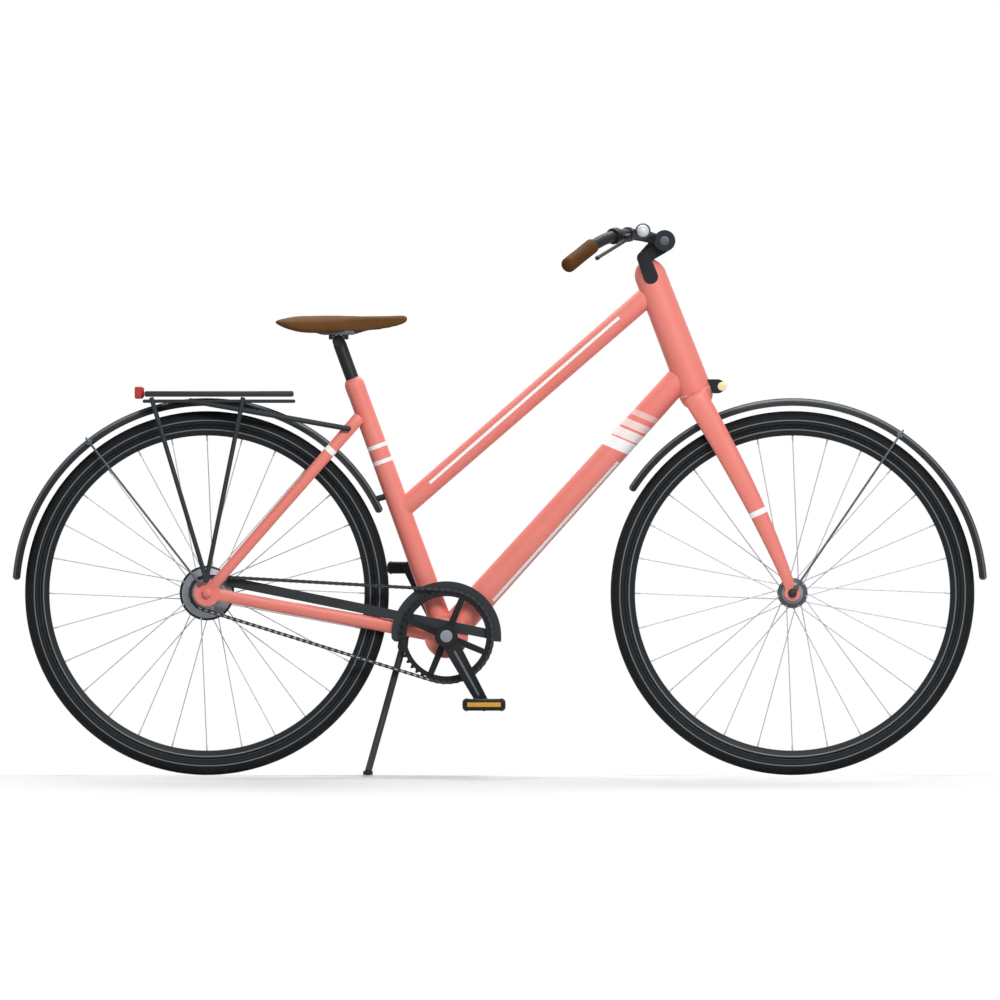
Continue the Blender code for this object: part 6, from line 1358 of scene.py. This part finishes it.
def stuffed(shape, voxel, pressure, limit):
    """Stuffs a closed cover: an even skin, blown up by Cloth under pressure, but no point moves further
    than the limit."""
    skin = bpy.data.meshes.new("cover")
    shape.to_mesh(skin)
    shape.free()
    cover = bpy.data.objects.new("cover", skin)
    bpy.context.scene.collection.objects.link(cover)
    remesh = cover.modifiers.new("even_skin", "REMESH")
    remesh.mode = "VOXEL"
    remesh.voxel_size = voxel
    bpy.context.view_layer.objects.active = cover
    bpy.ops.object.modifier_apply(modifier=remesh.name)
    start = [corner.co.copy() for corner in cover.data.vertices]
    held = cover.vertex_groups.new(name="held")
    underside = [corner.index for corner in cover.data.vertices if corner.normal.z < -0.3]
    held.add(underside, 1.0, "REPLACE")
    cloth = cover.modifiers.new("stuffing", "CLOTH")
    cloth.settings.quality = 6
    cloth.settings.mass = 0.3
    cloth.settings.tension_stiffness = 30
    cloth.settings.compression_stiffness = 30
    cloth.settings.bending_stiffness = 2
    cloth.settings.use_pressure = True
    cloth.settings.uniform_pressure_force = pressure
    cloth.settings.effector_weights.gravity = 0
    cloth.settings.vertex_group_mass = held.name
    # After twenty frames the pressure has done its work
    for at in range(1, 21):
        bpy.context.scene.frame_set(at)
    swollen = bpy.data.meshes.new_from_object(cover.evaluated_get(bpy.context.evaluated_depsgraph_get()))
    made = bmesh.new()
    made.from_mesh(swollen)
    made.verts.ensure_lookup_table()
    for corner, before in zip(made.verts, start):
        move = corner.co - before
        if move.length > limit:
            corner.co = before + move.normalized() * limit
    for _ in range(8):
        bmesh.ops.smooth_vert(
            made, verts=made.verts, factor=0.5, use_axis_x=True, use_axis_y=True, use_axis_z=True,
        )
    bpy.data.objects.remove(cover)
    bpy.data.meshes.remove(skin)
    bpy.data.meshes.remove(swollen)
    bpy.context.scene.frame_set(1)
    return made


cushion_shape = saddle_cage()
cushion_shape = stuffed(cushion_shape, 0.0035, 4.0, 0.003)
cover = BVHTree.FromBMesh(cushion_shape)


def on_cover(point, sunk):
    """The place on the cushion's skin nearest a point, sunk a little into it."""
    spot, normal, _, _ = cover.find_nearest(point)
    return spot - normal * sunk


def piping_line():
    """The piping's line low on the right side of the cover."""
    line = []
    for step in range(2, SADDLE_STEPS - 2):
        share = step / SADDLE_STEPS
        top, lip = height_at(SADDLE_TOP, share), height_at(SADDLE_LIP, share)
        beside = Vector((SEAM_REAR + SEAM_LENGTH * share, -saddle_half(share), top + (lip - top) * 0.86))
        line.append(on_cover(beside, 0.0004))
    return line


def top_stitch(side, step):
    """One stitch of the two curved seams that run along the saddle's top."""
    reach = SEAM_LENGTH * (0.13 + step * 0.0215)
    y = side * (0.0085 + 0.0065 * math.sin(reach * 9))
    ends = [on_cover(Vector((SEAM_REAR + reach + shift, y, 0.885)), -0.0001) for shift in (0.0, 0.0034)]
    return rod(ends, 0.00045, 6, UP, 0.0003, 0.0003)


piping = piping_line()
trim = [(rod(line, 0.0011, 8), piping_brown) for line in (piping, [mirrored(point) for point in piping])]
trim += [(top_stitch(side, step), thread) for side in (-1, 1) for step in range(34)]
piece("saddle_seams", "saddle", trim, ())
cushion_shapes = [(cushion_shape, saddle_leather)]
cushion = piece("saddle_cushion", "saddle", cushion_shapes, ["saddle"], crease=85)
soft = cushion.modifiers.new("soft", "SUBSURF")
soft.levels = 1
soft.render_levels = 1

# Stand: the left leg's bends from its foot up to its pivot, then the same again mirrored
FOOT_Y = 0.125
foot = Vector((STAND_PIVOT.x - 0.0668, 0, 0.004))
down_leg = (foot - STAND_PIVOT).normalized()
leg = [foot + ACROSS * FOOT_Y + UP * 0.0012]
for along, out in ((0.137, 0.032), (0.113, 0.03), (0.0096, 0.03), (0.0028, 0.0272), (0.0, 0.0204)):
    leg.append(STAND_PIVOT + down_leg * along + ACROSS * out)
stand_shapes = [(rod(leg + [mirrored(point) for point in reversed(leg)], 0.0066, 20, AHEAD), rack_coat)]
for side in (-1, 1):
    pad = turned([(0, 0.0), (0.0088, 0.0), (0.0095, 0.0008), (0.0092, 0.0074), (0.0084, 0.008),
                  (0, 0.008)], 36)
    stand_shapes.append((placed(pad, Matrix.Translation((foot.x, side * FOOT_Y, 0))), nylon))
piece("stand_bent_legs", "stand", stand_shapes, ["stand_legs"])
bridge = block((0.024, 0.0366, 0.013), 0.003)
bracket = [(placed(bridge, Matrix.Translation((STAND_PIVOT.x + 0.002, 0, 0.2694))), rack_coat)]
for side in (-1, 1):
    ear = plate(capsule((0, 0), (0.002, 0.019), 0.0098, 0.0097, 14), 0.006, 0.0012)
    bracket.append((placed(ear, seen_from_side(side * 0.0156, STAND_PIVOT)), rack_coat))
piece("stand_bracket_cast", "frame", bracket, ["stand_bracket"])


# Floor, light and camera
def fall(distance, width):
    """How far a slope of 1 has fallen that starts gently, over about that width."""
    return distance - width * (1 - math.exp(-distance / width))


def floor():
    """A pale floor, level under the bike, that falls away gently on both sides, so that the bike's soft
    shadow shows from the side too. Far from the bike it is plain white."""
    shape = bmesh.new()
    bmesh.ops.create_grid(shape, x_segments=2, y_segments=240, size=1, matrix=Matrix.Diagonal((6, 6, 1, 1)))
    for corner in shape.verts:
        away = max(0.0, abs(corner.co.y) - 0.025)
        further = max(0.0, abs(corner.co.y) - 0.15)
        corner.co.z = -0.05 * fall(away, 0.06) - 0.06 * fall(further, 0.1)
    mesh = bpy.data.meshes.new("studio_floor")
    shape.to_mesh(mesh)
    shape.free()
    made = bpy.data.objects.new("studio_floor", mesh)
    bpy.context.scene.collection.objects.link(made)
    mesh.materials.append(studio_paper())


def studio_paper():
    """Pale paper that takes the bike's shadow, and turns plain white towards the edge of the view. The
    bike's own light bounces from a grey one."""
    look, tree, place = new_look("studio_paper")
    rays = node(tree, "LightPath").outputs
    seen = node(tree, "Math", {0: rays["Is Camera Ray"], 1: rays["Is Glossy Ray"]}, operation="MAXIMUM")
    shades = {SHARE: seen.outputs[0], UNDER: (0.5, 0.5, 0.5, 1), OVER: tint("F5F5F5")}
    shade = node(tree, "Mix", shades, data_type="RGBA")
    paper = node(tree, "BsdfDiffuse", {"Color": shade.outputs[BLEND]})
    white = node(tree, "Emission", {"Color": tint("FFFFFF"), "Strength": 1.0})
    oval = node(tree, "Mapping", {"Vector": place, "Scale": (0.75, 1.3, 0.0)})
    far = node(tree, "VectorMath", {0: oval.outputs["Vector"]}, operation="LENGTH")
    values = {"Value": far.outputs["Value"], "From Min": 0.45, "From Max": 0.95}
    edge = node(tree, "MapRange", values, interpolation_type="SMOOTHSTEP")
    share = node(tree, "Math", {0: seen.outputs[0], 1: edge.outputs["Result"]}, operation="MULTIPLY")
    shaders = {0: share.outputs[0], 1: paper.outputs["BSDF"], 2: white.outputs["Emission"]}
    mix = node(tree, "MixShader", shaders)
    node(tree, "OutputMaterial", {"Surface": mix.outputs["Shader"]})
    return look


def lamp(name, place, aim, size, power):
    data = bpy.data.lights.new(name, "AREA")
    data.shape = "RECTANGLE"
    data.size, data.size_y = size
    data.energy = power
    made = bpy.data.objects.new(name, data)
    made.matrix_world = aimed(Vector(place), Vector(place) - Vector(aim), AHEAD)
    bpy.context.scene.collection.objects.link(made)
    made.visible_camera = False


def surroundings():
    """Plain soft light from all round, and white behind the bike and in its gloss and lenses."""
    world = bpy.data.worlds.new("studio_world")
    bpy.context.scene.world = world
    world.use_nodes = True
    tree = world.node_tree
    tree.nodes.clear()
    rays = node(tree, "LightPath").outputs
    seen = node(tree, "Math", {0: rays["Is Camera Ray"], 1: rays["Is Glossy Ray"]}, operation="MAXIMUM")
    seen = node(tree, "Math", {0: seen.outputs[0], 1: rays["Is Transmission Ray"]}, operation="MAXIMUM")
    ambient = node(tree, "Background", {"Color": tint("FFFFFF"), "Strength": 0.3})
    white = node(tree, "Background", {"Color": tint("FFFFFF"), "Strength": 1.0})
    shaders = {0: seen.outputs[0], 1: ambient.outputs["Background"], 2: white.outputs["Background"]}
    mix = node(tree, "MixShader", shaders)
    node(tree, "OutputWorld", {"Surface": mix.outputs["Shader"]})


floor()
lamp("soft_box_front", (0.9, -2.9, 2.5), (0, 0, 0.5), (2.2, 1.0), 90)
lamp("strip_light_behind", (0.0, 1.2, 3.0), (0, 0, 0.2), (3.2, 0.35), 76)
surroundings()

# The photograph is a flat side view, that many metres across
VIEW_WIDTH = 1.918
camera_data = bpy.data.cameras.new("side_view")
camera_data.type = "ORTHO"
camera_data.ortho_scale = VIEW_WIDTH
camera = bpy.data.objects.new("side_view", camera_data)
camera.location = (0.0005, -4.0, 0.5275)
camera.rotation_euler = (QUARTER, 0, 0)
bpy.context.scene.collection.objects.link(camera)
bpy.context.scene.camera = camera
bpy.context.scene.view_settings.view_transform = "Standard"
